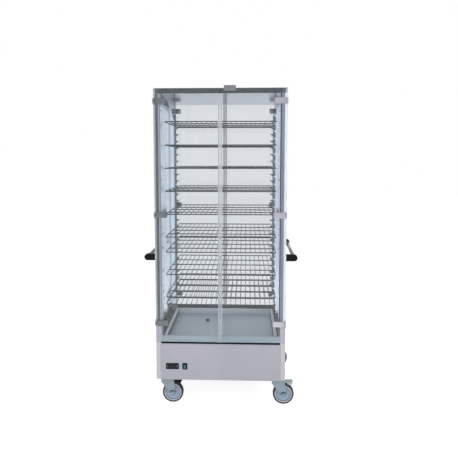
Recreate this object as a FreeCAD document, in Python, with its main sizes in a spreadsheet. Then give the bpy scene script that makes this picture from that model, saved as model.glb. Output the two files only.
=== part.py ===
import FreeCAD, Part
import math
import os
import Sketcher

# Heated display cart: a pass-through glass cabinet on four casters, in millimetres.
# The origin is on the floor under the middle, +X is right, -Y is the front and +Z is up.

SIZES = (
    ("body_width", 764, "over the two side walls"),
    ("frame_depth", 620, "over the front and rear flanges of the side walls"),
    ("roof_height", 1870, "floor to the roof"),
    ("base_height", 160, "floor to the underside of the base, the casters' height"),
    ("panel_top", 375, "floor to the top of the base panels"),
    ("floor_level", 391.5, "floor to the heated chamber's floor"),
    ("sill_rise", 37.5, "chamber's floor to the top of its sills"),
    ("header_drop", 29, "depth of the header over each door opening"),
    ("sheet", 1.5, "cabinet sheet"),
    ("flange_width", 40, "corner flange of a side wall"),
    ("return_depth", 30, "return of a corner flange"),
    ("panel_width", 714, "width of the base panels"),
    ("panel_return", 10, "folded edge of the base panels"),
    ("fit", 0.5, "clearance between folded sheets"),
    ("pan_sheet", 2, "base pan sheet"),
    ("pan_lip", 25, "upturned edge of the base pan"),
    ("rail_height", 4, "stiffening bar over the casters"),
    ("rail_width", 88, "width of a stiffening bar"),
    ("window_width", 472, "window in a side wall"),
    ("window_low", 575, "floor to the window"),
    ("window_high", 1800, "floor to the top of the window"),
    ("window_corner", 60, "corner radius of the window"),
    ("pane", 5, "side pane"),
    ("pane_gap", 4, "rubber between pane and wall"),
    ("seal_grip", 10, "overlap of the window rubber"),
    ("seal_cover", 3, "rubber over each face of the pane"),
    ("gasket", 3, "wall to door glass"),
    ("gasket_relief", 0.3, "gasket to door glass"),
    ("gasket_width", 15, "side strip of the door gasket"),
    ("gasket_inset", 12, "gasket to the side wall's outer face"),
    ("gasket_low", 520, "floor to the foot of the gasket's side strips"),
    ("gap_seal_depth", 9, "black strip under each sill"),
    ("glass", 6, "door glass"),
    ("door_lap", 36, "door glass over the sill"),
    ("door_head", 2, "roof to the top edge of the door glass"),
    ("seam_gap", 2, "gap between a pair of door seals"),
    ("edge_wall", 1.6, "edge seal at the seam"),
    ("edge_leg", 1.2, "edge seal over each face of the glass"),
    ("edge_width", 11, "width of an edge seal"),
    ("edge_head", 32, "roof to the top of the edge seals"),
    ("hinge_inset", 4, "hinge axis to the side wall's outer face"),
    ("hinge_lead", 6, "hinge axis to the front of the glass"),
    ("hinge_top", 1797, "floor to the top hinges"),
    ("hinge_middle", 1147, "floor to the middle hinges"),
    ("hinge_bottom", 506, "floor to the bottom hinges"),
    ("hinge_height", 34, "height of a hinge"),
    ("knuckle_radius", 5, "hinge knuckle"),
    ("knuckle_height", 13, "moving middle knuckle"),
    ("knuckle_gap", 0.5, "gap between knuckles"),
    ("pin_radius", 2.5, "hinge pin"),
    ("pin_head", 1.5, "height of a hinge pin's head"),
    ("running", 0.05, "radial clearance of a pin in its bore"),
    ("leaf", 2.5, "fixed hinge leaf"),
    ("leaf_depth", 42, "length of a fixed hinge leaf"),
    ("clamp_length", 63, "clamp plate on the glass"),
    ("clamp_plate", 3, "thickness of the clamp plate"),
    ("clamp_back", 2.5, "thickness of the plate behind the glass"),
    ("clamp_back_length", 30, "plate behind the glass"),
    ("clamp_clear", 2, "clamp plate to the fixed knuckles"),
    ("stud_radius", 4, "stud through the glass"),
    ("stud_gap", 0.3, "stud to the hole in the glass"),
    ("stud_spacing", 18, "between the two studs of a clamp"),
    ("edge_clear", 1, "hinge axis to the edge of the glass"),
    ("pull_width", 68, "finger pull on the door's top edge"),
    ("pull_height", 30, "height of the finger pull"),
    ("pull_rise", 12, "finger pull above the roof"),
    ("pull_offset", 22, "seam to the finger pull"),
    ("pull_plate", 2, "thickness of the finger pull"),
    ("pull_lip", 9, "bent lip of the finger pull"),
    ("shelf_width", 650, "wire shelf, side to side"),
    ("shelf_depth", 580, "wire shelf, front to back"),
    ("shelf_rod", 3, "radius of the shelf's outer rod"),
    ("shelf_bar", 3, "radius of a cross bar"),
    ("shelf_wire", 2, "radius of a wire"),
    ("shelf_corner", 14, "corner radius of a shelf"),
    ("wire_pitch", 29.5, "between two wires"),
    ("weld", 0.8, "depth of a welded crossing"),
    ("shelf_rest", 0.2, "shelf to its teeth"),
    ("tooth_first", 607.5, "floor to the lowest used tooth"),
    ("tooth_pitch", 44.7, "between two teeth"),
    ("tooth_reach", 20, "length of a tooth"),
    ("tooth_height", 17, "height of a tooth at its root"),
    ("upright_plate", 2, "sheet of the toothed uprights"),
    ("upright_width", 15, "front face of an upright"),
    ("upright_spread", 431, "between the front and rear uprights"),
    ("upright_low", 540, "floor to the foot of the uprights"),
    ("upright_high", 1765, "floor to the top of the uprights"),
    ("upright_screw_radius", 2, "screw in an upright"),
    ("screw_head_radius", 4.5, "head of such a screw"),
    ("screw_head", 2.5, "height of such a head"),
    ("screw_length", 6, "length of such a screw"),
    ("screw_margin", 20, "end of an upright to its first screw"),
    ("baffle_front", 170, "middle to the front end of an air baffle"),
    ("baffle_height", 125, "height of an air baffle at its rear end"),
    ("baffle_edge", 4.5, "height of an air baffle at its front end"),
    ("baffle_radius", 812, "curved lower edge of an air baffle"),
    ("tray_width", 666, "drip tray over its rims"),
    ("tray_depth", 520, "drip tray, front to back"),
    ("tray_height", 37.5, "height of the drip tray"),
    ("tray_sheet", 1.2, "drip tray sheet"),
    ("tray_rim", 16, "side rim of the drip tray"),
    ("tray_front", 8, "front sill to the drip tray"),
    ("handle_height", 892, "floor to the handles"),
    ("handle_offset", 50, "side wall to the tube's axis"),
    ("handle_spread", 540, "between the brackets of a handle"),
    ("tube_radius", 11, "handle tube"),
    ("tube_wall", 1.5, "wall of the handle tube"),
    ("bracket_radius", 19, "rounded end of a bracket"),
    ("bracket_width", 26, "thickness of a bracket"),
    ("socket_depth", 18, "tube in its bracket"),
    ("bolt_radius", 3, "bolt of a handle bracket"),
    ("bolt_length", 21, "length of such a bolt"),
    ("bolt_head_radius", 5, "head of such a bolt"),
    ("bolt_head", 4, "height of such a head"),
    ("bolt_spacing", 20, "between the two bolts of a bracket"),
    ("control_height", 241, "floor to the controls"),
    ("thermostat_offset", 286, "middle to the thermostat"),
    ("thermostat_width", 77, "thermostat front"),
    ("thermostat_height", 35, "height of the thermostat front"),
    ("thermostat_face", 3.5, "thickness of the thermostat front"),
    ("thermostat_lip", 3, "thermostat front over its cut-out"),
    ("thermostat_body", 55, "depth of the thermostat"),
    ("thermostat_corner", 2, "corner radius of the thermostat front"),
    ("key_width", 6, "thermostat key"),
    ("key_height", 15, "height of a thermostat key"),
    ("key_depth", 2.4, "thickness of a thermostat key"),
    ("key_proud", 0.7, "key above the thermostat front"),
    ("key_spread", 58, "between the two keys"),
    ("key_gap", 0.3, "key to its pocket"),
    ("key_pocket", 3, "depth of a key's pocket"),
    ("switch_offset", 212, "middle to the switch"),
    ("switch_width", 30, "switch bezel"),
    ("switch_height", 38, "height of the switch bezel"),
    ("switch_face", 2.5, "thickness of the switch bezel"),
    ("switch_wall", 1.2, "wall of the switch body"),
    ("switch_body", 26, "depth of the switch body"),
    ("rocker_width", 20, "rocker"),
    ("rocker_height", 28, "height of the rocker"),
    ("rocker_proud", 4, "rocker's edges above its axis plane"),
    ("rocker_root", 5, "rocker behind its axis"),
    ("rocker_gap", 0.8, "rocker to its bezel"),
    ("rocker_pin", 1.5, "radius of the rocker's pin"),
    ("rocker_tilt", 7, "tilt of the resting rocker, in degrees"),
    ("cut_gap", 0.3, "cut-out around a control"),
    ("inlet_depth", 230, "middle to the mains inlet, towards the front"),
    ("inlet_height", 275, "floor to the mains inlet"),
    ("inlet_radius", 30, "mains inlet flange"),
    ("inlet_flange", 4, "thickness of the inlet flange"),
    ("inlet_dome", 14, "rise of the inlet's domed cover"),
    ("inlet_dome_radius", 26, "rim of the domed cover"),
    ("inlet_barrel", 20, "radius of the inlet behind the wall"),
    ("inlet_length", 34, "inlet behind the wall"),
    ("heater_radius", 4, "tubular heating element"),
    ("heater_run", 480, "straight run of the element"),
    ("heater_bend", 32, "radius of the element's bends"),
    ("heater_drop", 22, "chamber floor to the element's axis"),
    ("heater_strap", 2, "sheet of the element's straps"),
    ("heater_strap_width", 14, "strap around the outer runs"),
    ("terminal_length", 70, "terminal block"),
    ("terminal_width", 32, "width of the terminal block"),
    ("terminal_height", 24, "height of the terminal block"),
    ("terminal_offset", 190, "middle to the terminal block"),
    ("probe_radius", 13, "temperature probe's guard"),
    ("probe_height", 9, "height of the guard"),
    ("probe_side", 105, "middle to the probe, to the left"),
    ("probe_depth", 60, "middle to the probe, to the rear"),
    ("caster_inset", 49, "side wall to a caster's swivel axis"),
    ("caster_setback", 48, "front flange to a caster's swivel axis"),
    ("caster_trail", 43, "swivel axis to the axle"),
    ("plate_length", 94, "caster plate"),
    ("plate_width", 75, "width of a caster plate"),
    ("plate", 3, "thickness of a caster plate"),
    ("plate_holes_long", 70, "bolt spacing along a caster plate"),
    ("plate_holes_wide", 50, "bolt spacing across a caster plate"),
    ("caster_bolt", 4, "radius of a caster bolt"),
    ("hex_radius", 6.5, "corner radius of its head and nut"),
    ("hex_height", 5.5, "height of its head and nut"),
    ("race_radius", 27, "ball race under a caster plate"),
    ("race_height", 8, "height of the ball race"),
    ("race_gap", 0.3, "ball race to the fork's crown"),
    ("kingpin", 6, "radius of the kingpin"),
    ("king_nut", 9, "radius of the kingpin's nut"),
    ("king_nut_height", 5, "height of the kingpin's nut"),
    ("crown", 4, "thickness of the fork's crown"),
    ("crown_back", 27, "crown behind the swivel axis"),
    ("crown_front", 52, "crown ahead of the swivel axis"),
    ("leg", 3, "fork leg"),
    ("leg_gap", 3, "wheel to a fork leg"),
    ("leg_tip", 17, "rounded tip of a fork leg"),
    ("leg_shoulder", 18, "crown to the narrowing of a fork leg"),
    ("axle", 5, "radius of the axle"),
    ("axle_head", 8.5, "corner radius of the axle's head and nut"),
    ("axle_head_height", 5, "height of the axle's head and nut"),
    ("wheel_radius", 62.5, "caster wheel"),
    ("wheel_width", 32, "width of the tyre"),
    ("tyre_depth", 9.5, "thickness of the tyre"),
    ("tyre_shoulder", 5, "rounding of the tyre"),
    ("hub_boss", 14, "radius of the hub's boss"),
    ("hub_web", 12, "thickness of the hub's web"),
    ("hub_rim", 7, "thickness of the hub's rim"),
    ("hub_gap", 0.3, "hub to a fork leg"),
    ("pedal_pin", 3, "radius of the brake pedal's pin"),
    ("pedal_barrel", 5.5, "radius of the pedal's barrel"),
    ("pedal_ahead", 45, "swivel axis to the pedal's pin"),
    ("pedal_drop", 11.5, "crown's top to the pedal's pin"),
    ("pedal_reach", 50, "length of the brake pedal"),
    ("pedal_plate", 5, "thickness of the brake pedal"),
    ("pedal_gap", 0.4, "pedal to a fork leg"),
    ("pedal_skirt", 12, "side skirt under the brake pedal"),
    ("pedal_skirt_wall", 1.6, "thickness of a skirt"),
    ("pedal_skirt_start", 20, "pedal's pin to its skirts"),
)

# Shelves hang this many teeth above the lowest one, from the bottom up.
SHELF_TEETH = (0, 1, 4, 7, 9, 12, 15, 18, 21, 24)
TEETH = 26
SCREWS_PER_UPRIGHT = 4
CROSS_BARS = 3
HEATER_RUNS = 4
TERMINAL_WAYS = 5

AXES = {
    "x": FreeCAD.Vector(1, 0, 0),
    "y": FreeCAD.Vector(0, 1, 0),
    "z": FreeCAD.Vector(0, 0, 1),
}

doc = FreeCAD.newDocument("HeatedDisplayCart")
sheet = doc.addObject("Spreadsheet::Sheet", "Sizes")
for row, (alias, value, meaning) in enumerate(SIZES, start=1):
    sheet.set(f"A{row}", meaning)
    sheet.set(f"B{row}", str(value))
    sheet.setAlias(f"B{row}", alias)
doc.recompute()

# Planes and lines that several pieces share, as expressions of the sheet's sizes.
WALL = "(Sizes.body_width / 2)"
WALL_IN = f"({WALL} - Sizes.sheet)"
FACE = "(Sizes.frame_depth / 2)"
FACE_IN = f"({FACE} - Sizes.sheet)"
RETURN_X = f"({WALL} - Sizes.flange_width)"
RETURN_Y = f"({FACE} - Sizes.return_depth)"
BETWEEN_X = f"({RETURN_X} - Sizes.fit)"
BETWEEN_Y = f"({RETURN_Y} - Sizes.fit)"
ROOF_IN = "(Sizes.roof_height - Sizes.sheet)"
CEILING = "(Sizes.roof_height - Sizes.header_drop)"
SILL = "(Sizes.floor_level - Sizes.sheet)"
SILL_TOP = "(Sizes.floor_level + Sizes.sill_rise)"
PANEL_FACE = f"({FACE} + Sizes.sheet)"
GLASS_BACK = f"({FACE} + Sizes.gasket)"
GLASS_FRONT = f"({GLASS_BACK} + Sizes.glass)"
GLASS_LOW = f"({SILL_TOP} - Sizes.door_lap)"
GLASS_HIGH = "(Sizes.roof_height - Sizes.door_head)"
HINGE_X = f"({WALL} - Sizes.hinge_inset)"
HINGE_Y = f"({GLASS_FRONT} + Sizes.hinge_lead)"
HINGE_HEIGHTS = ("Sizes.hinge_bottom", "Sizes.hinge_middle", "Sizes.hinge_top")
UPRIGHT_Y = "(Sizes.upright_spread / 2)"
HANDLE_X = f"({WALL} + Sizes.handle_offset)"
HANDLE_Y = "(Sizes.handle_spread / 2)"
CASTER_X = f"({WALL} - Sizes.caster_inset)"
CASTER_Y = f"({FACE} - Sizes.caster_setback)"
PLATE_LOW = "(Sizes.base_height - Sizes.plate)"
RACE_LOW = f"({PLATE_LOW} - Sizes.race_height)"
CROWN_TOP = f"({RACE_LOW} - Sizes.race_gap)"
CROWN_LOW = f"({CROWN_TOP} - Sizes.crown)"
LEG_IN = "(Sizes.wheel_width / 2 + Sizes.leg_gap)"
LEG_OUT = f"({LEG_IN} + Sizes.leg)"
TRAY_FRONT = f"(-{FACE} + Sizes.tray_front)"
TRAY_FLOOR = "(Sizes.floor_level + Sizes.tray_sheet)"

exported = []


def number(expression):
    """Value of an expression of the sheet's sizes."""
    return float(sheet.evalExpression(str(expression)))


def bind(item, prop, expression):
    """Tie one property of an object to an expression."""
    item.setExpression(prop, str(expression))


def place(item, x="0", y="0", z="0"):
    """Tie an object's position to three expressions."""
    for axis, expression in zip("xyz", (x, y, z)):
        bind(item, f"Placement.Base.{axis}", expression)


def box(name, x, y, z):
    """Box between two expressions along each axis."""
    item = doc.addObject("Part::Box", name)
    for prop, (low, high) in zip(("Length", "Width", "Height"), (x, y, z)):
        bind(item, prop, f"({high}) - ({low})")
    place(item, x[0], y[0], z[0])
    return item


def rod(name, radius, axis, start, length):
    """Cylinder that starts at a point and runs along an axis."""
    item = doc.addObject("Part::Cylinder", name)
    turn = FreeCAD.Rotation(AXES["z"], AXES[axis])
    item.Placement = FreeCAD.Placement(FreeCAD.Vector(), turn)
    bind(item, "Radius", radius)
    bind(item, "Height", length)
    place(item, *start)
    return item


def hexagon(name, radius, axis, start, length):
    """Six-sided prism that starts at a point and runs along an axis."""
    item = doc.addObject("Part::Prism", name)
    turn = FreeCAD.Rotation(AXES["z"], AXES[axis])
    item.Placement = FreeCAD.Placement(FreeCAD.Vector(), turn)
    bind(item, "Circumradius", radius)
    bind(item, "Height", length)
    place(item, *start)
    return item


def fuse(name, pieces):
    """One solid from overlapping or touching pieces."""
    item = doc.addObject("Part::MultiFuse", name)
    item.Shapes = pieces
    item.Refine = True
    return item


def group(name, pieces):
    """Separate solids that belong to one sub-part."""
    item = doc.addObject("Part::Compound", name)
    item.Links = pieces
    return item


def cut(name, base, tools):
    """Base piece less one or more tools."""
    item = doc.addObject("Part::Cut", name)
    item.Base = base
    item.Tool = tools[0] if len(tools) == 1 else fuse(f"{name}_tools", tools)
    item.Refine = True
    return item


def mirrored(name, source, axis):
    """Mirror image of a piece in the plane square to an axis through the origin."""
    item = doc.addObject("Part::Mirroring", name)
    item.Source = source
    item.Base = FreeCAD.Vector()
    item.Normal = AXES[axis]
    return item


def copied(name, source, x="0", y="0", z="0"):
    """Copy of a finished piece, moved by three expressions."""
    item = doc.addObject("Part::Feature", name)
    item.Shape = source.Shape.copy()
    shift = FreeCAD.Vector(number(x), number(y), number(z))
    item.Placement = FreeCAD.Placement(shift, FreeCAD.Rotation()).multiply(source.Placement)
    return item


def sub_part(item, label):
    """Give a finished piece the name of its file."""
    item.Label = label
    exported.append(item)
    return item


def outline(body, plane, points):
    """Closed sketch of straight lines whose corners are pairs of expressions."""
    sketch = body.newObject("Sketcher::SketchObject", f"{body.Name}_outline")
    origin = body.Origin.OriginFeatures
    support = next(feature for feature in origin if feature.Role == plane)
    sketch.AttachmentSupport = [(support, "")]
    sketch.MapMode = "FlatFace"
    corners = [FreeCAD.Vector(number(u), number(v), 0) for u, v in points]
    for index, corner in enumerate(corners):
        sketch.addGeometry(Part.LineSegment(corner, corners[(index + 1) % len(corners)]))
    for index, (u, v) in enumerate(points):
        before = (index - 1) % len(points)
        sketch.addConstraint(Sketcher.Constraint("Coincident", before, 2, index, 1))
        for kind, expression in (("DistanceX", u), ("DistanceY", v)):
            datum = Sketcher.Constraint(kind, -1, 1, index, 1, number(expression))
            at = sketch.addConstraint(datum)
            sketch.setExpression(f"Constraints[{at}]", str(expression))
    return sketch


def padded(name, plane, points, length):
    """Body whose outline is padded by a length along the plane's normal."""
    body = doc.addObject("PartDesign::Body", name)
    sketch = outline(body, plane, points)
    pad = body.newObject("PartDesign::Pad", f"{name}_pad")
    pad.Profile = sketch
    bind(pad, "Length", length)
    doc.recompute()
    return body


def turned(name, points):
    """Body turned about the Y axis from an outline of radius and width."""
    body = doc.addObject("PartDesign::Body", name)
    sketch = outline(body, "XY_Plane", points)
    turn = body.newObject("PartDesign::Revolution", f"{name}_turn")
    turn.Profile = sketch
    turn.ReferenceAxis = (sketch, ["V_Axis"])
    turn.Angle = 360
    doc.recompute()
    return body


def rounded(body, axis, radius):
    """Round the edges of a body that run along an axis."""
    base = body.Tip
    along = AXES[axis]
    names = []
    for index, edge in enumerate(base.Shape.Edges, start=1):
        straight = isinstance(edge.Curve, Part.Line)
        if straight and abs(edge.tangentAt(edge.FirstParameter).dot(along)) > 0.999:
            names.append(f"Edge{index}")
    fillet = body.newObject("PartDesign::Fillet", f"{body.Name}_round")
    fillet.Base = (base, names)
    bind(fillet, "Radius", radius)
    doc.recompute()
    return body


def rectangle(width, height):
    """Corners of a rectangle around the origin."""
    half_u = f"({width}) / 2"
    half_v = f"({height}) / 2"
    return ((f"-({half_u})", f"-({half_v})"), (half_u, f"-({half_v})"),
            (half_u, half_v), (f"-({half_u})", half_v))


def rounded_block(name, width, height, depth, radius, position):
    """Block with rounded corners in the XZ plane, which runs back from its front face."""
    body = padded(name, "XZ_Plane", rectangle(width, height), depth)
    rounded(body, "y", radius)
    x, y, z = position
    place(body, x, f"({y}) + ({depth})", z)
    return body


def floor_plate(name, low, high):
    """Plate that fills the cabinet's plan and steps in around the corner flanges."""
    wide = box(f"{name}_wide", (f"-{WALL_IN}", WALL_IN), (f"-{BETWEEN_Y}", BETWEEN_Y), (low, high))
    deep = box(f"{name}_deep", (f"-{BETWEEN_X}", BETWEEN_X), (f"-{FACE_IN}", FACE_IN), (low, high))
    return [wide, deep]


def base_chassis():
    """Base pan with its upturned edges, and the bars that stiffen it over the casters."""
    low = "Sizes.base_height"
    top = f"({low} + Sizes.pan_sheet)"
    lip_top = f"({top} + Sizes.pan_lip)"
    rail_top = f"({top} + Sizes.rail_height)"
    lip_in = f"({WALL_IN} - Sizes.pan_sheet)"
    lip = box("pan_lip_right", (lip_in, WALL_IN), (f"-{BETWEEN_Y}", BETWEEN_Y), (low, lip_top))
    ends = box("pan_end_rear", (f"-{BETWEEN_X}", BETWEEN_X),
               (f"{FACE_IN} - Sizes.pan_sheet", FACE_IN), (low, lip_top))
    pieces = floor_plate("pan", low, top)
    pieces += [lip, mirrored("pan_lip_left", lip, "x"), ends, mirrored("pan_end_front", ends, "y")]
    holes = caster_holes("pan_hole", low, rail_top)
    pan = cut("base_pan", fuse("base_pan_solid", pieces), [holes])
    half = "Sizes.rail_width / 2"
    bar = box("rail_blank", (f"{CASTER_X} - {half}", f"{CASTER_X} + {half}"),
              (f"-({BETWEEN_Y} - Sizes.fit)", f"{BETWEEN_Y} - Sizes.fit"), (top, rail_top))
    right = cut("caster_rail_right", bar, [holes])
    left = cut("caster_rail_left", mirrored("rail_blank_left", bar, "x"), [holes])
    sub_part(group("chassis", [pan, right, left]), "base_chassis")


def caster_spots():
    """Signs of the four casters, with the word for each corner."""
    return (("front_left", -1, -1), ("front_right", 1, -1), ("rear_left", -1, 1), ("rear_right", 1, 1))


def bolt_spots():
    """Positions of all caster bolts, as expressions."""
    for word, side, end in caster_spots():
        for along in (-1, 1):
            for across in (-1, 1):
                x = f"({side} * {CASTER_X} + {along} * Sizes.plate_holes_long / 2)"
                y = f"({end} * {CASTER_Y} + {across} * Sizes.plate_holes_wide / 2)"
                yield f"{word}_{along + 1}{across + 1}", x, y


def caster_holes(name, low, high):
    """Clearance holes for all caster bolts."""
    radius = "Sizes.caster_bolt + Sizes.running"
    rods = [rod(f"{name}_{word}", radius, "z", (x, y, low), f"({high}) - ({low})")
            for word, x, y in bolt_spots()]
    return group(f"{name}_group", rods)


def base_panel(name, label, cut_outs):
    """Folded base panel, at the rear, or at the front where it takes the controls."""
    low = "(Sizes.base_height - Sizes.sheet)"
    top = "Sizes.panel_top"
    half = "Sizes.panel_width / 2"
    back = f"({FACE} - Sizes.panel_return)"
    face = box(f"{name}_face", (f"-({half})", half), (FACE, PANEL_FACE), (low, top))
    foot = box(f"{name}_foot", (f"-({half})", half), (back, FACE), (low, "Sizes.base_height"))
    head = box(f"{name}_head", (f"-{BETWEEN_X}", BETWEEN_X), (back, FACE), (f"{top} - Sizes.sheet", top))
    panel = fuse(f"{name}_folded", [face, foot, head])
    if cut_outs:
        panel = cut(f"{name}_cut", mirrored(f"{name}_front", panel, "y"), cut_outs)
    sub_part(panel, label)


def window_block(name, inset, low, high):
    """Block along X with the window's rounded outline, smaller by an inset."""
    width = f"Sizes.window_width - 2 * ({inset})"
    height = f"Sizes.window_high - Sizes.window_low - 2 * ({inset})"
    body = padded(name, "YZ_Plane", rectangle(width, height), f"({high}) - ({low})")
    rounded(body, "x", f"Sizes.window_corner - ({inset})")
    place(body, low, "0", "(Sizes.window_low + Sizes.window_high) / 2")
    return body


def side_walls():
    """Folded side walls with their windows, panes and window rubbers."""
    height = f"{ROOF_IN} - Sizes.base_height"
    fold_x = f"({RETURN_X} + Sizes.sheet)"
    rear = [(WALL, FACE), (RETURN_X, FACE), (RETURN_X, RETURN_Y), (fold_x, RETURN_Y),
            (fold_x, FACE_IN), (WALL_IN, FACE_IN)]
    front = [(x, f"-{y}") for x, y in reversed(rear)]
    folded = padded("wall_folded", "XY_Plane", rear + front, height)
    place(folded, "0", "0", "Sizes.base_height")
    opening = window_block("wall_window", "0", f"{WALL_IN} - Sizes.fit", f"{WALL} + Sizes.fit")
    radius = "Sizes.bolt_radius + Sizes.running"
    holes = [opening]
    for word, y, z in handle_bolt_spots():
        holes.append(rod(f"wall_bolt_hole_{word}", radius, "x", (WALL_IN, y, z), "Sizes.sheet"))
    for word, y, z in upright_screw_spots():
        screw = "Sizes.upright_screw_radius + Sizes.running"
        holes.append(rod(f"wall_screw_hole_{word}", screw, "x", (RETURN_X, y, z), "Sizes.sheet"))
    plain = cut("wall_plain", folded, [group("wall_holes", holes)])
    left = mirrored("wall_left", plain, "x")
    sub_part(left, "left_side_frame")
    inlet = rod("wall_inlet_hole", "Sizes.inlet_barrel + Sizes.cut_gap", "x",
                (WALL_IN, "-Sizes.inlet_depth", "Sizes.inlet_height"), "Sizes.sheet")
    sub_part(cut("wall_right", plain, [inlet]), "right_side_frame")
    middle = f"({WALL} - Sizes.sheet / 2)"
    half_pane = "Sizes.pane / 2"
    half_seal = "(Sizes.pane / 2 + Sizes.seal_cover)"
    pane = window_block("pane_right", "Sizes.pane_gap", f"{middle} - {half_pane}", f"{middle} + {half_pane}")
    sub_part(group("panes", [pane, mirrored("pane_left", pane, "x")]), "side_panes")
    seal_low = f"({middle} - {half_seal})"
    seal_high = f"({middle} + {half_seal})"
    outer = window_block("seal_outer", "-Sizes.seal_grip", seal_low, seal_high)
    inner = window_block("seal_inner", "Sizes.pane_gap + Sizes.seal_grip", seal_low, seal_high)
    ring = cut("seal_ring", outer, [inner])
    grooved = cut("seal_grooved", cut("seal_on_wall", ring, [plain]), [pane])
    sub_part(group("window_rubbers", [grooved, mirrored("seal_left", grooved, "x")]), "pane_seals")


def roof_and_ceiling():
    """Roof with its headers, and the polished ceiling under it."""
    header = box("header_rear", (f"-{BETWEEN_X}", BETWEEN_X), (FACE_IN, FACE), (CEILING, ROOF_IN))
    top = box("roof_sheet", (f"-{WALL}", WALL), (f"-{FACE}", FACE), (ROOF_IN, "Sizes.roof_height"))
    sub_part(fuse("roof", [top, header, mirrored("header_front", header, "y")]), "roof_cover")
    low = f"({CEILING} - Sizes.sheet)"
    fold = box("ceiling_fold", (f"-{BETWEEN_X}", BETWEEN_X), (f"{FACE_IN} - Sizes.sheet", FACE_IN),
               (low, f"{ROOF_IN} - Sizes.fit"))
    pieces = floor_plate("ceiling", low, CEILING)
    sub_part(fuse("ceiling", pieces + [fold, mirrored("ceiling_fold_front", fold, "y")]), "ceiling_liner")


def chamber_floor():
    """Chamber floor with its sills, and the drip tray that lies on it."""
    sill = box("sill_rear", (f"-{BETWEEN_X}", BETWEEN_X), (FACE_IN, FACE), (SILL, SILL_TOP))
    edge = box("floor_edge", (f"{WALL_IN} - Sizes.sheet", WALL_IN), (f"-{BETWEEN_Y}", BETWEEN_Y),
               (SILL, SILL_TOP))
    pieces = floor_plate("floor", SILL, "Sizes.floor_level")
    pieces += [sill, mirrored("sill_front", sill, "y"), edge, mirrored("floor_edge_left", edge, "x")]
    sub_part(fuse("floor", pieces), "floor_pan")
    half = "(Sizes.tray_width / 2)"
    wall = f"({half} - Sizes.tray_rim)"
    back = f"({TRAY_FRONT} + Sizes.tray_depth)"
    top = "(Sizes.floor_level + Sizes.tray_height)"
    outer = box("tray_outer", (f"-{wall}", wall), (TRAY_FRONT, back), ("Sizes.floor_level", top))
    rim = box("tray_rims", (f"-{half}", half), (TRAY_FRONT, back), (f"{top} - Sizes.tray_sheet", top))
    inner = box("tray_inner", (f"-({wall} - Sizes.tray_sheet)", f"{wall} - Sizes.tray_sheet"),
                (f"{TRAY_FRONT} + Sizes.tray_sheet", f"{back} - Sizes.tray_sheet"),
                (TRAY_FLOOR, f"{top} + Sizes.fit"))
    sub_part(cut("tray", fuse("tray_solid", [outer, rim]), [inner]), "drip_tray")


def door_gaskets():
    """Dark gasket around each door opening, and the black strip under each sill."""
    outer = f"({WALL} - Sizes.gasket_inset)"
    face = f"({GLASS_BACK} - Sizes.gasket_relief)"
    top = f"({GLASS_HIGH} - Sizes.fit)"
    strip = box("gasket_side", (f"{outer} - Sizes.gasket_width", outer), (FACE, face),
                ("Sizes.gasket_low", top))
    head = box("gasket_head", (f"-{outer}", outer), (FACE, face), (CEILING, top))
    rear = fuse("gasket_rear", [strip, mirrored("gasket_side_left", strip, "x"), head])
    gap_y = f"({FACE} - Sizes.fit)"
    gap = box("gap_strip", (f"-{BETWEEN_X}", BETWEEN_X), (f"{gap_y} - Sizes.gap_seal_depth", gap_y),
              ("Sizes.panel_top", SILL))
    pieces = [rear, mirrored("gasket_front", rear, "y"), gap, mirrored("gap_strip_front", gap, "y")]
    sub_part(group("gaskets", pieces), "door_gaskets")


def upright_screw_spots():
    """Height and depth of the screws of a right-hand pair of uprights."""
    first = "(Sizes.upright_low + Sizes.screw_margin)"
    step = f"(Sizes.upright_high - Sizes.screw_margin - {first}) / {SCREWS_PER_UPRIGHT - 1}"
    depth = f"(({FACE} + {RETURN_Y}) / 2 - Sizes.fit)"
    for end, word in ((1, "rear"), (-1, "front")):
        for index in range(SCREWS_PER_UPRIGHT):
            yield f"{word}_{index}", f"{end} * {depth}", f"{first} + {index} * {step}"


def air_baffles():
    """Pair of curved air baffles that hang from the ceiling over the side windows."""
    start = f"({RETURN_X} + Sizes.sheet + Sizes.fit)"
    front = "(-Sizes.baffle_front)"
    top = f"({CEILING} - Sizes.sheet)"
    blank = box("baffle_blank", (start, f"{start} + Sizes.sheet"), (front, BETWEEN_Y),
                (f"{top} - Sizes.baffle_height", top))
    centre = (start, front, f"{top} - Sizes.baffle_edge - Sizes.baffle_radius")
    sweep = rod("baffle_sweep", "Sizes.baffle_radius", "x", centre, "Sizes.sheet")
    right = cut("baffle_right", blank, [sweep])
    return [right, mirrored("baffle_left", right, "x")]


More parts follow.
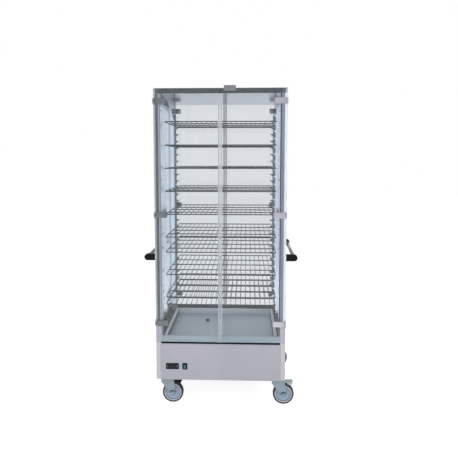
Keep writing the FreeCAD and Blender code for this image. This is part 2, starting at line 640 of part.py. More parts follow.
def shelf_uprights():
    """Toothed uprights, each a folded angle with one row of teeth, their screws and the air baffles."""
    leg_in = f"({RETURN_X} - Sizes.upright_plate)"
    face_in = f"({RETURN_X} - Sizes.upright_width)"
    near = f"({UPRIGHT_Y} - Sizes.upright_plate)"
    far = f"({FACE_IN} - Sizes.sheet - Sizes.fit)"
    points = ((RETURN_X, near), (RETURN_X, far), (leg_in, far), (leg_in, UPRIGHT_Y),
              (face_in, UPRIGHT_Y), (face_in, near))
    body = padded("upright_angle", "XY_Plane", points, "Sizes.upright_high - Sizes.upright_low")
    place(body, "0", "0", "Sizes.upright_low")
    tip = f"({face_in} - Sizes.tooth_reach)"
    root = f"({face_in} + Sizes.upright_plate)"
    first = "(Sizes.tooth_first - Sizes.upright_low)"
    under = f"({first} - Sizes.tooth_height)"
    sketch = outline(body, "XZ_Plane", ((tip, first), (root, first), (root, under), (face_in, under)))
    tooth = body.newObject("PartDesign::Pad", "upright_tooth")
    tooth.Profile = sketch
    tooth.Reversed = True
    bind(sketch, "AttachmentOffset.Base.z", f"-{near}")
    bind(tooth, "Length", "Sizes.upright_plate")
    doc.recompute()
    row = body.newObject("PartDesign::LinearPattern", "upright_teeth")
    row.Originals = [tooth]
    row.Direction = (sketch, ["V_Axis"])
    row.Occurrences = TEETH
    bind(row, "Length", f"Sizes.tooth_pitch * {TEETH - 1}")
    body.Tip = row
    doc.recompute()
    screw_in = f"({leg_in} - Sizes.screw_head)"
    screws = []
    holes = []
    for word, y, z in upright_screw_spots():
        head = rod(f"screw_head_{word}", "Sizes.screw_head_radius", "x", (screw_in, y, z), "Sizes.screw_head")
        shank = rod(f"screw_shank_{word}", "Sizes.upright_screw_radius", "x", (leg_in, y, z),
                    "Sizes.screw_length")
        screws.append(fuse(f"screw_{word}", [head, shank]))
        radius = "Sizes.upright_screw_radius + Sizes.running"
        holes.append(rod(f"upright_hole_{word}", radius, "x", (leg_in, y, z), "Sizes.upright_plate"))
    rear_right = cut("upright_rear_right", body, [group("upright_holes", holes)])
    right = [rear_right, mirrored("upright_front_right", rear_right, "y")]
    left = [mirrored(f"upright_left_{index}", piece, "x") for index, piece in enumerate(right)]
    sub_part(group("uprights", right + left + air_baffles()), "shelf_uprights")
    return screws


def shelf_shape():
    """Wire shelf around the origin: outer rod, cross bars and wires, welded into one solid."""
    rod_radius = number("Sizes.shelf_rod")
    bar_radius = number("Sizes.shelf_bar")
    wire_radius = number("Sizes.shelf_wire")
    corner = number("Sizes.shelf_corner")
    half_x = number("Sizes.shelf_width / 2 - Sizes.shelf_rod")
    half_y = number("Sizes.shelf_depth / 2 - Sizes.shelf_rod")
    wire_z = number("Sizes.shelf_rod - Sizes.shelf_wire")
    bar_z = wire_z - wire_radius - bar_radius + number("Sizes.weld")
    edges = []
    diagonal = corner * (1 - math.sqrt(0.5))
    turns = ((1, 1), (-1, 1), (-1, -1), (1, -1))
    ends = []
    for sx, sy in turns:
        along = FreeCAD.Vector(sx * half_x, sy * (half_y - corner), 0)
        middle = FreeCAD.Vector(sx * (half_x - diagonal), sy * (half_y - diagonal), 0)
        across = FreeCAD.Vector(sx * (half_x - corner), sy * half_y, 0)
        first, last = (along, across) if sx == sy else (across, along)
        edges.append(Part.Arc(first, middle, last).toShape())
        ends.append((first, last))
    path = []
    for index, arc in enumerate(edges):
        path.append(arc)
        path.append(Part.LineSegment(ends[index][1], ends[(index + 1) % len(ends)][0]).toShape())
    spine = Part.Wire(path)
    start = ends[0][0]
    ring = Part.Wire(Part.Circle(start, AXES["y"], rod_radius).toShape())
    solids = []
    for bar in range(1, CROSS_BARS + 1):
        y = -half_y + 2 * half_y * bar / (CROSS_BARS + 1)
        solids.append(Part.makeCylinder(bar_radius, 2 * half_x, FreeCAD.Vector(-half_x, y, bar_z), AXES["x"]))
    gaps = round(2 * half_x / number("Sizes.wire_pitch"))
    for wire in range(1, gaps):
        x = -half_x + 2 * half_x * wire / gaps
        start = FreeCAD.Vector(x, -half_y, wire_z)
        solids.append(Part.makeCylinder(wire_radius, 2 * half_y, start, AXES["y"]))
    frame = spine.makePipeShell([ring], True, False)
    return frame.multiFuse(solids).Solids[0]


def wire_shelves():
    """Ten like shelves, each on its own row of teeth."""
    master = doc.addObject("Part::Feature", "shelf_master")
    master.Shape = shelf_shape()
    lift = "Sizes.tooth_first + Sizes.shelf_rod + Sizes.shelf_rest"
    for index, teeth in enumerate(reversed(SHELF_TEETH), start=1):
        label = f"wire_shelf_{index:02d}"
        sub_part(copied(f"shelf_{index}", master, z=f"{lift} + {teeth} * Sizes.tooth_pitch"), label)


def hinge_leaves():
    """Fixed hinge leaves with their outer knuckles, and the hinge pins."""
    half = "Sizes.hinge_height / 2"
    slot = "(Sizes.knuckle_height / 2 + Sizes.knuckle_gap)"
    front = f"({HINGE_Y} + Sizes.knuckle_radius / 2)"
    bore = "Sizes.pin_radius + Sizes.running"
    knuckle = f"{half} - {slot}"
    right = []
    for index, z in enumerate(HINGE_HEIGHTS):
        low = f"({z} - {half})"
        high = f"({z} + {half})"
        plate = box(f"leaf_plate_{index}", (WALL, f"{WALL} + Sizes.leaf"),
                    (f"{front} - Sizes.leaf_depth", front), (low, high))
        lower = rod(f"leaf_lower_{index}", "Sizes.knuckle_radius", "z", (HINGE_X, HINGE_Y, low), knuckle)
        upper = rod(f"leaf_upper_{index}", "Sizes.knuckle_radius", "z",
                    (HINGE_X, HINGE_Y, f"{z} + {slot}"), knuckle)
        notch = box(f"leaf_notch_{index}", (f"{WALL} - Sizes.leaf", f"{WALL} + 2 * Sizes.leaf"),
                    (f"{HINGE_Y} - 2 * Sizes.knuckle_radius", f"{HINGE_Y} + 2 * Sizes.knuckle_radius"),
                    (f"{z} - {slot}", f"{z} + {slot}"))
        hole = rod(f"leaf_bore_{index}", bore, "z", (HINGE_X, HINGE_Y, low), "Sizes.hinge_height")
        right.append(cut(f"leaf_{index}", fuse(f"leaf_solid_{index}", [plate, lower, upper]), [notch, hole]))
        pin = rod(f"pin_{index}", "Sizes.pin_radius", "z", (HINGE_X, HINGE_Y, low), "Sizes.hinge_height")
        head = rod(f"pin_head_{index}", "(Sizes.pin_radius + Sizes.knuckle_radius) / 2", "z",
                   (HINGE_X, HINGE_Y, high), "Sizes.pin_head")
        right.append(fuse(f"hinge_pin_{index}", [pin, head]))
    quarter = group("leaves_rear_right", right)
    rear = [quarter, mirrored("leaves_rear_left", quarter, "x")]
    front = [mirrored(f"leaves_front_{index}", piece, "y") for index, piece in enumerate(rear)]
    sub_part(group("leaves", rear + front), "hinge_leaves")


def door_leaf():
    """One door at the rear right: its glass, its hinge clamps and its edge seal."""
    half = "Sizes.hinge_height / 2"
    edge = f"({HINGE_X} - Sizes.edge_clear)"
    seam = "(Sizes.seam_gap / 2 + Sizes.edge_wall)"
    plate_end = f"({HINGE_X} - Sizes.knuckle_radius - Sizes.clamp_clear)"
    plate_start = f"({plate_end} - Sizes.clamp_length)"
    plate_face = f"({GLASS_FRONT} + Sizes.clamp_plate)"
    stud_x = f"({plate_start} + Sizes.clamp_back_length / 2)"
    knuckle = "Sizes.knuckle_height"
    holes = []
    clamps = []
    for index, z in enumerate(HINGE_HEIGHTS):
        plate = box(f"clamp_plate_{index}", (plate_start, plate_end), (GLASS_FRONT, plate_face),
                    (f"{z} - {half}", f"{z} + {half}"))
        arm = box(f"clamp_arm_{index}", (plate_end, HINGE_X), (GLASS_FRONT, plate_face),
                  (f"{z} - {knuckle} / 2", f"{z} + {knuckle} / 2"))
        barrel = rod(f"clamp_barrel_{index}", "Sizes.knuckle_radius", "z",
                     (HINGE_X, HINGE_Y, f"{z} - {knuckle} / 2"), knuckle)
        bore = rod(f"clamp_bore_{index}", "Sizes.pin_radius + Sizes.running", "z",
                   (HINGE_X, HINGE_Y, f"{z} - {knuckle} / 2"), knuckle)
        studs = []
        for side in (-1, 1):
            stud_z = f"{z} + {side} * Sizes.stud_spacing / 2"
            studs.append(rod(f"clamp_stud_{index}_{side + 1}", "Sizes.stud_radius", "y",
                             (stud_x, GLASS_BACK, stud_z), "Sizes.glass"))
            holes.append(rod(f"glass_hole_{index}_{side + 1}", "Sizes.stud_radius + Sizes.stud_gap", "y",
                             (stud_x, GLASS_BACK, stud_z), "Sizes.glass"))
        solid = fuse(f"clamp_solid_{index}", [plate, arm, barrel] + studs)
        clamps.append(cut(f"clamp_{index}", solid, [bore]))
        clamps.append(box(f"clamp_back_{index}", (plate_start, f"{plate_start} + Sizes.clamp_back_length"),
                          (f"{GLASS_BACK} - Sizes.clamp_back", GLASS_BACK),
                          (f"{z} - {half}", f"{z} + {half}")))
    pane = box("door_pane", (seam, edge), (GLASS_BACK, GLASS_FRONT), (GLASS_LOW, GLASS_HIGH))
    glass = cut("door_glass", pane, [group("glass_holes", holes)])
    start = "(Sizes.seam_gap / 2)"
    end = f"({start} + Sizes.edge_width)"
    back = f"({GLASS_BACK} - Sizes.edge_leg)"
    front = f"({GLASS_FRONT} + Sizes.edge_leg)"
    points = ((start, back), (end, back), (end, GLASS_BACK), (seam, GLASS_BACK), (seam, GLASS_FRONT),
              (end, GLASS_FRONT), (end, front), (start, front))
    seal = padded("door_edge_seal", "XY_Plane", points, f"Sizes.roof_height - Sizes.edge_head - {GLASS_LOW}")
    place(seal, "0", "0", GLASS_LOW)
    return glass, clamps, seal


def finger_pull():
    """Bent finger pull on the top edge of a door at the rear right."""
    start = "Sizes.pull_offset"
    end = f"({start} + Sizes.pull_width)"
    top = "(Sizes.roof_height + Sizes.pull_rise)"
    face = f"({GLASS_FRONT} + Sizes.pull_plate)"
    plate = box("pull_plate", (start, end), (GLASS_FRONT, face), (f"{top} - Sizes.pull_height", top))
    lip = box("pull_lip", (start, end), (face, f"{face} + Sizes.pull_lip"),
              (f"{top} - Sizes.pull_plate", top))
    return fuse("pull", [plate, lip])


def doors():
    """Four doors as mirror images, with a finger pull on one of each pair."""
    glass, clamps, seal = door_leaf()
    pull = finger_pull()
    plain = group("clamps_plain", clamps)
    pulled = group("clamps_pulled", clamps + [pull])
    for word, fittings, mirrors in (("rear_right", plain, ""), ("rear_left", pulled, "x"),
                                    ("front_right", pulled, "y"), ("front_left", plain, "xy")):
        pieces = (("door_glass", glass), ("door_clamps", fittings), ("door_seal", seal))
        for kind, piece in pieces:
            for axis in mirrors:
                piece = mirrored(f"{word}_{kind}_{axis}", piece, axis)
            sub_part(group(f"{word}_{kind}", [piece]), f"{word}_{kind}")


def handle_bolt_spots():
    """Depth and height of the bolts of the right-hand handle."""
    for end, word in ((1, "rear"), (-1, "front")):
        for side in (-1, 1):
            z = f"Sizes.handle_height + {side} * Sizes.bolt_spacing / 2"
            yield f"{word}_{side + 1}", f"{end} * {HANDLE_Y}", z


def handles():
    """Push handles: black brackets on the side walls, a steel tube between each pair, and bolts."""
    half = "Sizes.bracket_width / 2"
    near = f"({HANDLE_Y} - {half})"
    z = "Sizes.handle_height"
    arm = box("bracket_arm", (WALL, HANDLE_X), (near, f"{HANDLE_Y} + {half}"),
              (f"{z} - Sizes.bracket_radius", f"{z} + Sizes.bracket_radius"))
    nose = rod("bracket_nose", "Sizes.bracket_radius", "y", (HANDLE_X, near, z), "Sizes.bracket_width")
    socket = rod("bracket_socket", "Sizes.tube_radius + Sizes.running", "y", (HANDLE_X, near, z),
                 "Sizes.socket_depth")
    tools = [socket]
    bolts = []
    for word, y, bolt_z in handle_bolt_spots():
        head_x = f"({WALL_IN} - Sizes.bolt_head)"
        head = rod(f"bolt_head_{word}", "Sizes.bolt_head_radius", "x", (head_x, y, bolt_z), "Sizes.bolt_head")
        shank = rod(f"bolt_shank_{word}", "Sizes.bolt_radius", "x", (WALL_IN, y, bolt_z), "Sizes.bolt_length")
        bolts.append(fuse(f"bolt_{word}", [head, shank]))
        if word.startswith("rear"):
            radius = "Sizes.bolt_radius + Sizes.running"
            tools.append(rod(f"bracket_hole_{word}", radius, "x", (WALL, y, bolt_z), "Sizes.bolt_length"))
    rear = cut("bracket_rear", fuse("bracket_solid", [arm, nose]), [group("bracket_tools", tools)])
    right = [rear, mirrored("bracket_front", rear, "y")]
    left = [mirrored(f"bracket_left_{index}", piece, "x") for index, piece in enumerate(right)]
    sub_part(group("brackets", right + left), "handle_brackets")
    reach = f"({near} + Sizes.socket_depth - Sizes.fit)"
    outer = rod("tube_outer", "Sizes.tube_radius", "y", (HANDLE_X, f"-{reach}", z), f"2 * {reach}")
    inner = rod("tube_inner", "Sizes.tube_radius - Sizes.tube_wall", "y", (HANDLE_X, f"-{reach}", z),
                f"2 * {reach}")
    tube = cut("tube", outer, [inner])
    sub_part(group("tubes", [tube, mirrored("tube_left", tube, "x")]), "handle_tubes")
    return bolts


def fasteners(pieces):
    """Screws of the uprights and bolts of the handles, on both sides."""
    right = group("fasteners_right", pieces)
    sub_part(group("fasteners_both", [right, mirrored("fasteners_left", right, "x")]), "frame_screws")


def thermostat():
    """Panel thermostat with two keys that travel into its front."""
    x = "-Sizes.thermostat_offset"
    z = "Sizes.control_height"
    front = f"(-{PANEL_FACE} - Sizes.thermostat_face)"
    width = "(Sizes.thermostat_width - 2 * Sizes.thermostat_lip)"
    height = "(Sizes.thermostat_height - 2 * Sizes.thermostat_lip)"
    depth = "(Sizes.thermostat_body + Sizes.thermostat_face)"
    face = rounded_block("thermostat_front", "Sizes.thermostat_width", "Sizes.thermostat_height",
                         "Sizes.thermostat_face", "Sizes.thermostat_corner", (x, front, z))
    body = rounded_block("thermostat_rear", width, height, depth, "Sizes.thermostat_corner", (x, front, z))
    pockets = []
    for word, side in (("left", -1), ("right", 1)):
        key_x = f"({x} + {side} * Sizes.key_spread / 2)"
        corner = "Sizes.key_width / 4"
        key = rounded_block(f"key_{word}", "Sizes.key_width", "Sizes.key_height", "Sizes.key_depth", corner,
                            (key_x, f"{front} - Sizes.key_proud", z))
        pockets.append(rounded_block(f"key_pocket_{word}", "Sizes.key_width + 2 * Sizes.key_gap",
                                     "Sizes.key_height + 2 * Sizes.key_gap", "Sizes.key_pocket",
                                     f"{corner} + Sizes.key_gap", (key_x, front, z)))
        sub_part(key, f"thermostat_key_{word}")
    solid = fuse("thermostat_solid", [face, body])
    sub_part(cut("thermostat", solid, [group("key_pockets", pockets)]), "thermostat_case")
    return rounded_block("thermostat_cut_out", f"{width} + 2 * Sizes.cut_gap",
                         f"{height} + 2 * Sizes.cut_gap",
                         "2 * Sizes.thermostat_face", "Sizes.thermostat_corner + Sizes.cut_gap",
                         (x, front, z))


def switch():
    """Rocker switch: a bezel with a hollow body, and a rocker that tips on its pin."""
    x = "-Sizes.switch_offset"
    z = "Sizes.control_height"
    front = f"(-{PANEL_FACE} - Sizes.switch_face)"
    corner = "Sizes.thermostat_corner"
    hole_width = "(Sizes.rocker_width + 2 * Sizes.cut_gap)"
    hole_height = "(Sizes.rocker_height + 2 * Sizes.rocker_gap)"
    body_width = f"({hole_width} + 2 * Sizes.switch_wall)"
    body_height = f"({hole_height} + 2 * Sizes.switch_wall)"
    bezel = rounded_block("switch_front", "Sizes.switch_width", "Sizes.switch_height", "Sizes.switch_face",
                          corner, (x, front, z))
    body = rounded_block("switch_rear", body_width, body_height, "Sizes.switch_body + Sizes.switch_face",
                         "Sizes.switch_wall", (x, front, z))
    hollow = box("switch_hollow", (f"{x} - {hole_width} / 2", f"{x} + {hole_width} / 2"),
                 (f"{front} - Sizes.fit", f"-{PANEL_FACE} + Sizes.switch_body - Sizes.switch_wall"),
                 (f"{z} - {hole_height} / 2", f"{z} + {hole_height} / 2"))
    pin_y = f"(-{PANEL_FACE} + Sizes.switch_face)"
    pin_start = f"({x} - {body_width} / 2)"
    pin_hole = rod("switch_pin_hole", "Sizes.rocker_pin + Sizes.running", "x", (pin_start, pin_y, z),
                   body_width)
    sub_part(cut("switch_body", fuse("switch_solid", [bezel, body]), [hollow, pin_hole]), "switch_bezel")
    half = "Sizes.rocker_height / 2"
    proud = "(Sizes.switch_face * 2 + Sizes.rocker_proud)"
    points = ((f"-{proud}", half), ("-Sizes.switch_face * 2", "0"), (f"-{proud}", f"-({half})"),
              ("0", f"-({half}) + Sizes.rocker_root / 2"), ("Sizes.rocker_root", "0"),
              ("0", f"{half} - Sizes.rocker_root / 2"))
    rocker = padded("rocker_blade", "YZ_Plane", points, "Sizes.rocker_width")
    tilt = FreeCAD.Rotation(AXES["x"], number("Sizes.rocker_tilt"))
    rocker.Placement = FreeCAD.Placement(FreeCAD.Vector(), tilt)
    place(rocker, f"{x} - Sizes.rocker_width / 2", pin_y, z)
    pin = rod("rocker_pin", "Sizes.rocker_pin", "x", (pin_start, pin_y, z), body_width)
    sub_part(fuse("rocker", [rocker, pin]), "switch_rocker")
    return rounded_block("switch_cut_out", f"{body_width} + 2 * Sizes.cut_gap",
                         f"{body_height} + 2 * Sizes.cut_gap",
                         "2 * Sizes.thermostat_face", "Sizes.switch_wall + Sizes.cut_gap", (x, front, z))


def power_inlet():
    """Mains inlet on the right side wall: a flange with a domed cover and a barrel behind."""
    centre = ("-Sizes.inlet_depth", "Sizes.inlet_height")
    flange = rod("inlet_flange", "Sizes.inlet_radius", "x", (WALL, *centre), "Sizes.inlet_flange")
    barrel = rod("inlet_barrel", "Sizes.inlet_barrel", "x", (f"{WALL_IN} - Sizes.inlet_length", *centre),
                 "Sizes.inlet_length + Sizes.sheet")
    radius = "((Sizes.inlet_dome_radius ^ 2 + Sizes.inlet_dome ^ 2) / (2 * Sizes.inlet_dome))"
    seat = f"({WALL} + Sizes.inlet_flange)"
    ball = doc.addObject("Part::Sphere", "inlet_ball")
    bind(ball, "Radius", radius)
    place(ball, f"{seat} + Sizes.inlet_dome - {radius}", *centre)
    slab = rod("inlet_dome_slab", "Sizes.inlet_radius", "x", (seat, *centre), "2 * Sizes.inlet_dome")
    dome = doc.addObject("Part::Common", "inlet_dome")
    dome.Base = ball
    dome.Tool = slab
    sub_part(fuse("inlet", [flange, barrel, dome]), "power_inlet")


def heating_element():
    """Tubular element under the chamber floor, on two straps that hang from the floor."""
    radius = number("Sizes.heater_radius")
    bend = number("Sizes.heater_bend")
    half = number("Sizes.heater_run / 2")
    level = number("Sizes.floor_level - Sizes.sheet - Sizes.heater_drop")
    first = -bend * (HEATER_RUNS - 1)
    edges = []
    for run in range(HEATER_RUNS):
        y = first + 2 * bend * run
        side = 1 if run % 2 == 0 else -1
        start = FreeCAD.Vector(-side * half, y, level)
        end = FreeCAD.Vector(side * half, y, level)
        edges.append(Part.LineSegment(start, end).toShape())
        if run < HEATER_RUNS - 1:
            apex = FreeCAD.Vector(side * (half + bend), y + bend, level)
            after = FreeCAD.Vector(side * half, y + 2 * bend, level)
            edges.append(Part.Arc(end, apex, after).toShape())
    start = FreeCAD.Vector(-half, first, level)
    ring = Part.Wire(Part.Circle(start, AXES["x"], radius).toShape())
    tube = doc.addObject("Part::Feature", "heater_tube")
    tube.Shape = Part.Wire(edges).makePipeShell([ring], True, False)
    outer = f"(Sizes.heater_bend * {HEATER_RUNS - 1} + Sizes.heater_strap_width)"
    low = "(Sizes.floor_level - Sizes.sheet - Sizes.heater_drop - Sizes.heater_strap_width)"
    top = "(Sizes.floor_level - Sizes.sheet)"
    strap_x = "(Sizes.heater_run / 3)"
    strap = box("heater_strap", (strap_x, f"{strap_x} + Sizes.heater_strap"), (f"-{outer}", outer),
                (low, top))
    holes = []
    for run in range(HEATER_RUNS):
        y = f"{2 * run - HEATER_RUNS + 1} * Sizes.heater_bend"
        holes.append(rod(f"heater_hole_{run}", "Sizes.heater_radius + Sizes.running", "x",
                         (strap_x, y, f"{top} - Sizes.heater_drop"), "Sizes.heater_strap"))
    right = cut("heater_strap_right", strap, [group("heater_holes", holes)])
    sub_part(group("heater", [tube, right, mirrored("heater_strap_left", right, "x")]), "heating_element")


def terminal_block():
    """Stepped terminal block on the base pan, with a well for each wire."""
    low = "(Sizes.base_height + Sizes.pan_sheet)"
    half = "Sizes.terminal_width / 2"
    start = "-Sizes.terminal_offset"
    end = f"({start} + Sizes.terminal_length)"
    foot = box("terminal_foot", (start, end), (f"-({half})", half),
               (low, f"{low} + Sizes.terminal_height / 2"))
    ridge = box("terminal_ridge", (start, end), (f"-({half}) / 2", f"{half} / 2"),
                (low, f"{low} + Sizes.terminal_height"))
    wells = []
    for way in range(TERMINAL_WAYS):
        x = f"{start} + Sizes.terminal_length * {2 * way + 1} / {2 * TERMINAL_WAYS}"
        wells.append(rod(f"terminal_well_{way}", "Sizes.terminal_width / 10", "z",
                         (x, "0", f"{low} + Sizes.terminal_height / 2"), "Sizes.terminal_height"))
    solid = fuse("terminal_solid", [foot, ridge])
    sub_part(cut("terminal", solid, [group("terminal_wells", wells)]), "terminal_block")


def temperature_probe():
    """Low round guard of the temperature probe, on the drip tray."""
    centre = ("-Sizes.probe_side", "Sizes.probe_depth")
    guard = rod("probe_guard", "Sizes.probe_radius", "z", (*centre, TRAY_FLOOR), "Sizes.probe_height")
    bulb = rod("probe_bulb", "Sizes.probe_radius / 2", "z", (*centre, TRAY_FLOOR), "1.5 * Sizes.probe_height")
    sub_part(fuse("probe", [guard, bulb]), "temperature_probe")


def caster_plates():
    """Top plates with their ball races, kingpins and nuts, and the bolts through the base."""
    half_x = "Sizes.plate_length / 2"
    half_y = "Sizes.plate_width / 2"
    holes = caster_holes("plate_hole", PLATE_LOW, "Sizes.base_height")
    nut_low = f"({CROWN_LOW} - Sizes.race_gap - Sizes.king_nut_height)"
    plates = []
    for word, side, end in caster_spots():
        x = f"({side} * {CASTER_X})"
        y = f"({end} * {CASTER_Y})"
        plate = box(f"plate_{word}", (f"{x} - {half_x}", f"{x} + {half_x}"),
                    (f"{y} - {half_y}", f"{y} + {half_y}"), (PLATE_LOW, "Sizes.base_height"))
        race = rod(f"race_{word}", "Sizes.race_radius", "z", (x, y, RACE_LOW), "Sizes.race_height")
        pin = rod(f"kingpin_{word}", "Sizes.kingpin", "z", (x, y, nut_low), f"{PLATE_LOW} - {nut_low}")
        nut = rod(f"king_nut_{word}", "Sizes.king_nut", "z", (x, y, nut_low), "Sizes.king_nut_height")
        solid = fuse(f"plate_solid_{word}", [plate, race, pin, nut])
        plates.append(cut(f"caster_plate_{word}", solid, [holes]))
    sub_part(group("plates", plates), "caster_plates")
    nut_at = "(Sizes.base_height + Sizes.pan_sheet + Sizes.rail_height)"
    head_at = f"({PLATE_LOW} - Sizes.hex_height)"
    tip = f"({nut_at} + Sizes.hex_height + Sizes.plate)"
    bolts = []
    for word, x, y in bolt_spots():
        head = hexagon(f"caster_head_{word}", "Sizes.hex_radius", "z", (x, y, head_at), "Sizes.hex_height")
        shank = rod(f"caster_shank_{word}", "Sizes.caster_bolt", "z", (x, y, PLATE_LOW),
                    f"{tip} - {PLATE_LOW}")
        bolts.append(fuse(f"caster_bolt_{word}", [head, shank]))
        nut = hexagon(f"caster_nut_{word}", "Sizes.hex_radius", "z", (x, y, nut_at), "Sizes.hex_height")
        hole = rod(f"caster_nut_hole_{word}", "Sizes.caster_bolt + Sizes.running", "z", (x, y, nut_at),
                   "Sizes.hex_height")
        bolts.append(cut(f"caster_nut_bored_{word}", nut, [hole]))
    sub_part(group("plate_bolts", bolts), "caster_bolts")


def fork():
    """Caster fork around its swivel axis, with the axle, and a pin where there is a brake pedal."""
    axle_x = "Sizes.caster_trail"
    axle_z = "Sizes.wheel_radius"
    shoulder = f"({CROWN_TOP} - Sizes.leg_shoulder)"
    points = (("-Sizes.crown_back", CROWN_TOP), ("-Sizes.crown_back", shoulder),
              (f"{axle_x} - Sizes.leg_tip", axle_z), (f"{axle_x} + Sizes.leg_tip", axle_z),
              ("Sizes.crown_front", shoulder), ("Sizes.crown_front", CROWN_TOP))
    leg = padded("fork_leg", "XZ_Plane", points, "Sizes.leg")
    place(leg, "0", LEG_OUT, "0")
    tip = rod("fork_tip", "Sizes.leg_tip", "y", (axle_x, LEG_IN, axle_z), "Sizes.leg")
    crown = box("fork_crown", ("-Sizes.crown_back", "Sizes.crown_front"), (f"-{LEG_OUT}", LEG_OUT),
                (CROWN_LOW, CROWN_TOP))
    disc = rod("fork_disc", "Sizes.race_radius", "z", ("0", "0", CROWN_LOW), "Sizes.crown")
    one = fuse("fork_side", [leg, tip])
    solid = fuse("fork_solid", [one, mirrored("fork_other_side", one, "y"), crown, disc])
    king = rod("fork_king_hole", "Sizes.kingpin + Sizes.running", "z", ("0", "0", CROWN_LOW), "Sizes.crown")
    through = f"2 * {LEG_OUT}"
    bore = rod("fork_axle_hole", "Sizes.axle + Sizes.running", "y", (axle_x, f"-{LEG_OUT}", axle_z), through)
    plain = cut("fork_plain", solid, [king, bore])
    pedal_at = ("Sizes.pedal_ahead", f"-{LEG_OUT}", f"{CROWN_TOP} - Sizes.pedal_drop")
    pin_hole = rod("fork_pin_hole", "Sizes.pedal_pin + Sizes.running", "y", pedal_at, through)
    braked = cut("fork_braked", plain, [pin_hole])
    pin = rod("fork_pedal_pin", "Sizes.pedal_pin", "y", pedal_at, through)
    head_far = f"-({LEG_OUT} + Sizes.axle_head_height)"
    head = hexagon("axle_head", "Sizes.axle_head", "y", (axle_x, head_far, axle_z), "Sizes.axle_head_height")
    shank = rod("axle_shank", "Sizes.axle", "y", (axle_x, f"-{LEG_OUT}", axle_z), through)
    nut = hexagon("axle_nut", "Sizes.axle_head", "y", (axle_x, LEG_OUT, axle_z), "Sizes.axle_head_height")
    axle = fuse("axle_bolt", [head, shank, nut])
    return group("fork_braked_set", [braked, pin, axle]), group("fork_plain_set", [plain, axle])


def wheel():
    """Caster wheel on its axle: a moulded hub with a bonded tyre."""
    bore = "(Sizes.axle + Sizes.running)"
    boss_half = f"({LEG_IN} - Sizes.hub_gap)"
    web_half = "(Sizes.hub_web / 2)"
    seat = "(Sizes.wheel_radius - Sizes.tyre_depth)"
    inner = f"({seat} - Sizes.hub_rim)"
    rim_half = "(Sizes.wheel_width / 2 - Sizes.hub_rim / 2)"
    side = [(bore, boss_half), ("Sizes.hub_boss", boss_half), ("Sizes.hub_boss", web_half),
            (inner, web_half), (inner, rim_half), (seat, rim_half)]
    hub = turned("hub", [(r, f"-{y}") for r, y in side] + side[::-1])
    tyre_half = "(Sizes.wheel_width / 2)"
    shoulder = "(Sizes.wheel_radius - Sizes.tyre_shoulder)"
    flat = f"({tyre_half} - Sizes.tyre_shoulder)"
    flank = f"({seat} + Sizes.tyre_shoulder / 2)"
    tread = [(seat, rim_half), (flank, tyre_half), (shoulder, f"{tyre_half} - Sizes.tyre_shoulder / 4"),
             ("Sizes.wheel_radius", flat)]
    tyre = turned("tyre", [(r, f"-({y})") for r, y in tread] + tread[::-1])
    for body in (hub, tyre):
        place(body, "Sizes.caster_trail", "0", "Sizes.wheel_radius")
    return group("wheel_set", [hub, tyre])


def brake_pedal():
    """Skirted brake pedal that tips on its pin between the legs of a fork."""
    pin_x = "Sizes.pedal_ahead"
    pin_z = f"({CROWN_TOP} - Sizes.pedal_drop)"
    half = f"({LEG_IN} - Sizes.pedal_gap)"
    end = f"({pin_x} + Sizes.pedal_reach)"
    low = f"({pin_z} - Sizes.pedal_plate / 2)"
    high = f"({pin_z} + Sizes.pedal_plate / 2)"
    barrel = rod("pedal_barrel", "Sizes.pedal_barrel", "y", (pin_x, f"-{half}", pin_z), f"2 * {half}")
    plate = box("pedal_plate", (pin_x, end), (f"-{half}", half), (low, high))
    toe = rod("pedal_toe", "Sizes.pedal_plate", "y", (end, f"-{half}", pin_z), f"2 * {half}")
    skirt = box("pedal_skirt", (f"{pin_x} + Sizes.pedal_skirt_start", end),
                (f"{half} - Sizes.pedal_skirt_wall", half), (f"{low} - Sizes.pedal_skirt", pin_z))
    parts = [barrel, plate, toe, skirt, mirrored("pedal_other_skirt", skirt, "y")]
    radius = "Sizes.pedal_pin + Sizes.running"
    bore = rod("pedal_bore", radius, "y", (pin_x, f"-{half}", pin_z), f"2 * {half}")
    return cut("pedal", fuse("pedal_solid", parts), [bore])


def casters():
    """Four swivel casters whose wheels trail to the right, the front pair with brake pedals."""
    caster_plates()
    braked, plain = fork()
    wheels = wheel()
    pedal = brake_pedal()
    doc.recompute()
    for word, side, end in caster_spots():
        x = f"{side} * {CASTER_X}"
        y = f"{end} * {CASTER_Y}"
        has_brake = word.startswith("front")
        sub_part(copied(f"fork_{word}", braked if has_brake else plain, x, y), f"{word}_caster_fork")
        sub_part(copied(f"wheel_{word}", wheels, x, y), f"{word}_caster_wheel")
        if has_brake:
            sub_part(copied(f"pedal_{word}", pedal, x, y), f"{word}_brake_pedal")


def write_parts():
    """Check every object and write one file for each sub-part."""
    doc.recompute()
    failed = [item.Name for item in doc.Objects if {"Invalid", "Error"} & set(item.State)]
    if failed:
        raise RuntimeError(f"failed objects: {failed}")
    for item in exported:
        if item.Shape.isNull() or not item.Shape.isValid() or not item.Shape.Solids:
            raise RuntimeError(f"bad shape: {item.Label}")
    os.makedirs("parts", exist_ok=True)
    for item in exported:
        item.Shape.exportStep(os.path.join("parts", f"{item.Label}.step"))
    print(f"{len(exported)} sub-parts written")


base_chassis()
base_panel("rear_panel", "base_rear_panel", [])
base_panel("front_panel", "base_front_panel", [thermostat(), switch()])
side_walls()
roof_and_ceiling()
chamber_floor()
door_gaskets()
fasteners(shelf_uprights() + handles())
wire_shelves()
hinge_leaves()
doors()
power_inlet()
heating_element()
terminal_block()
temperature_probe()
casters()
write_parts()
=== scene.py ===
"""Heated display cart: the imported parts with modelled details, finishes, light and camera."""
from __future__ import annotations

import logging
import math
from dataclasses import dataclass
from enum import Enum
from typing import Callable, Iterable, Sequence

import bmesh
import bpy
from mathutils import Matrix, Vector

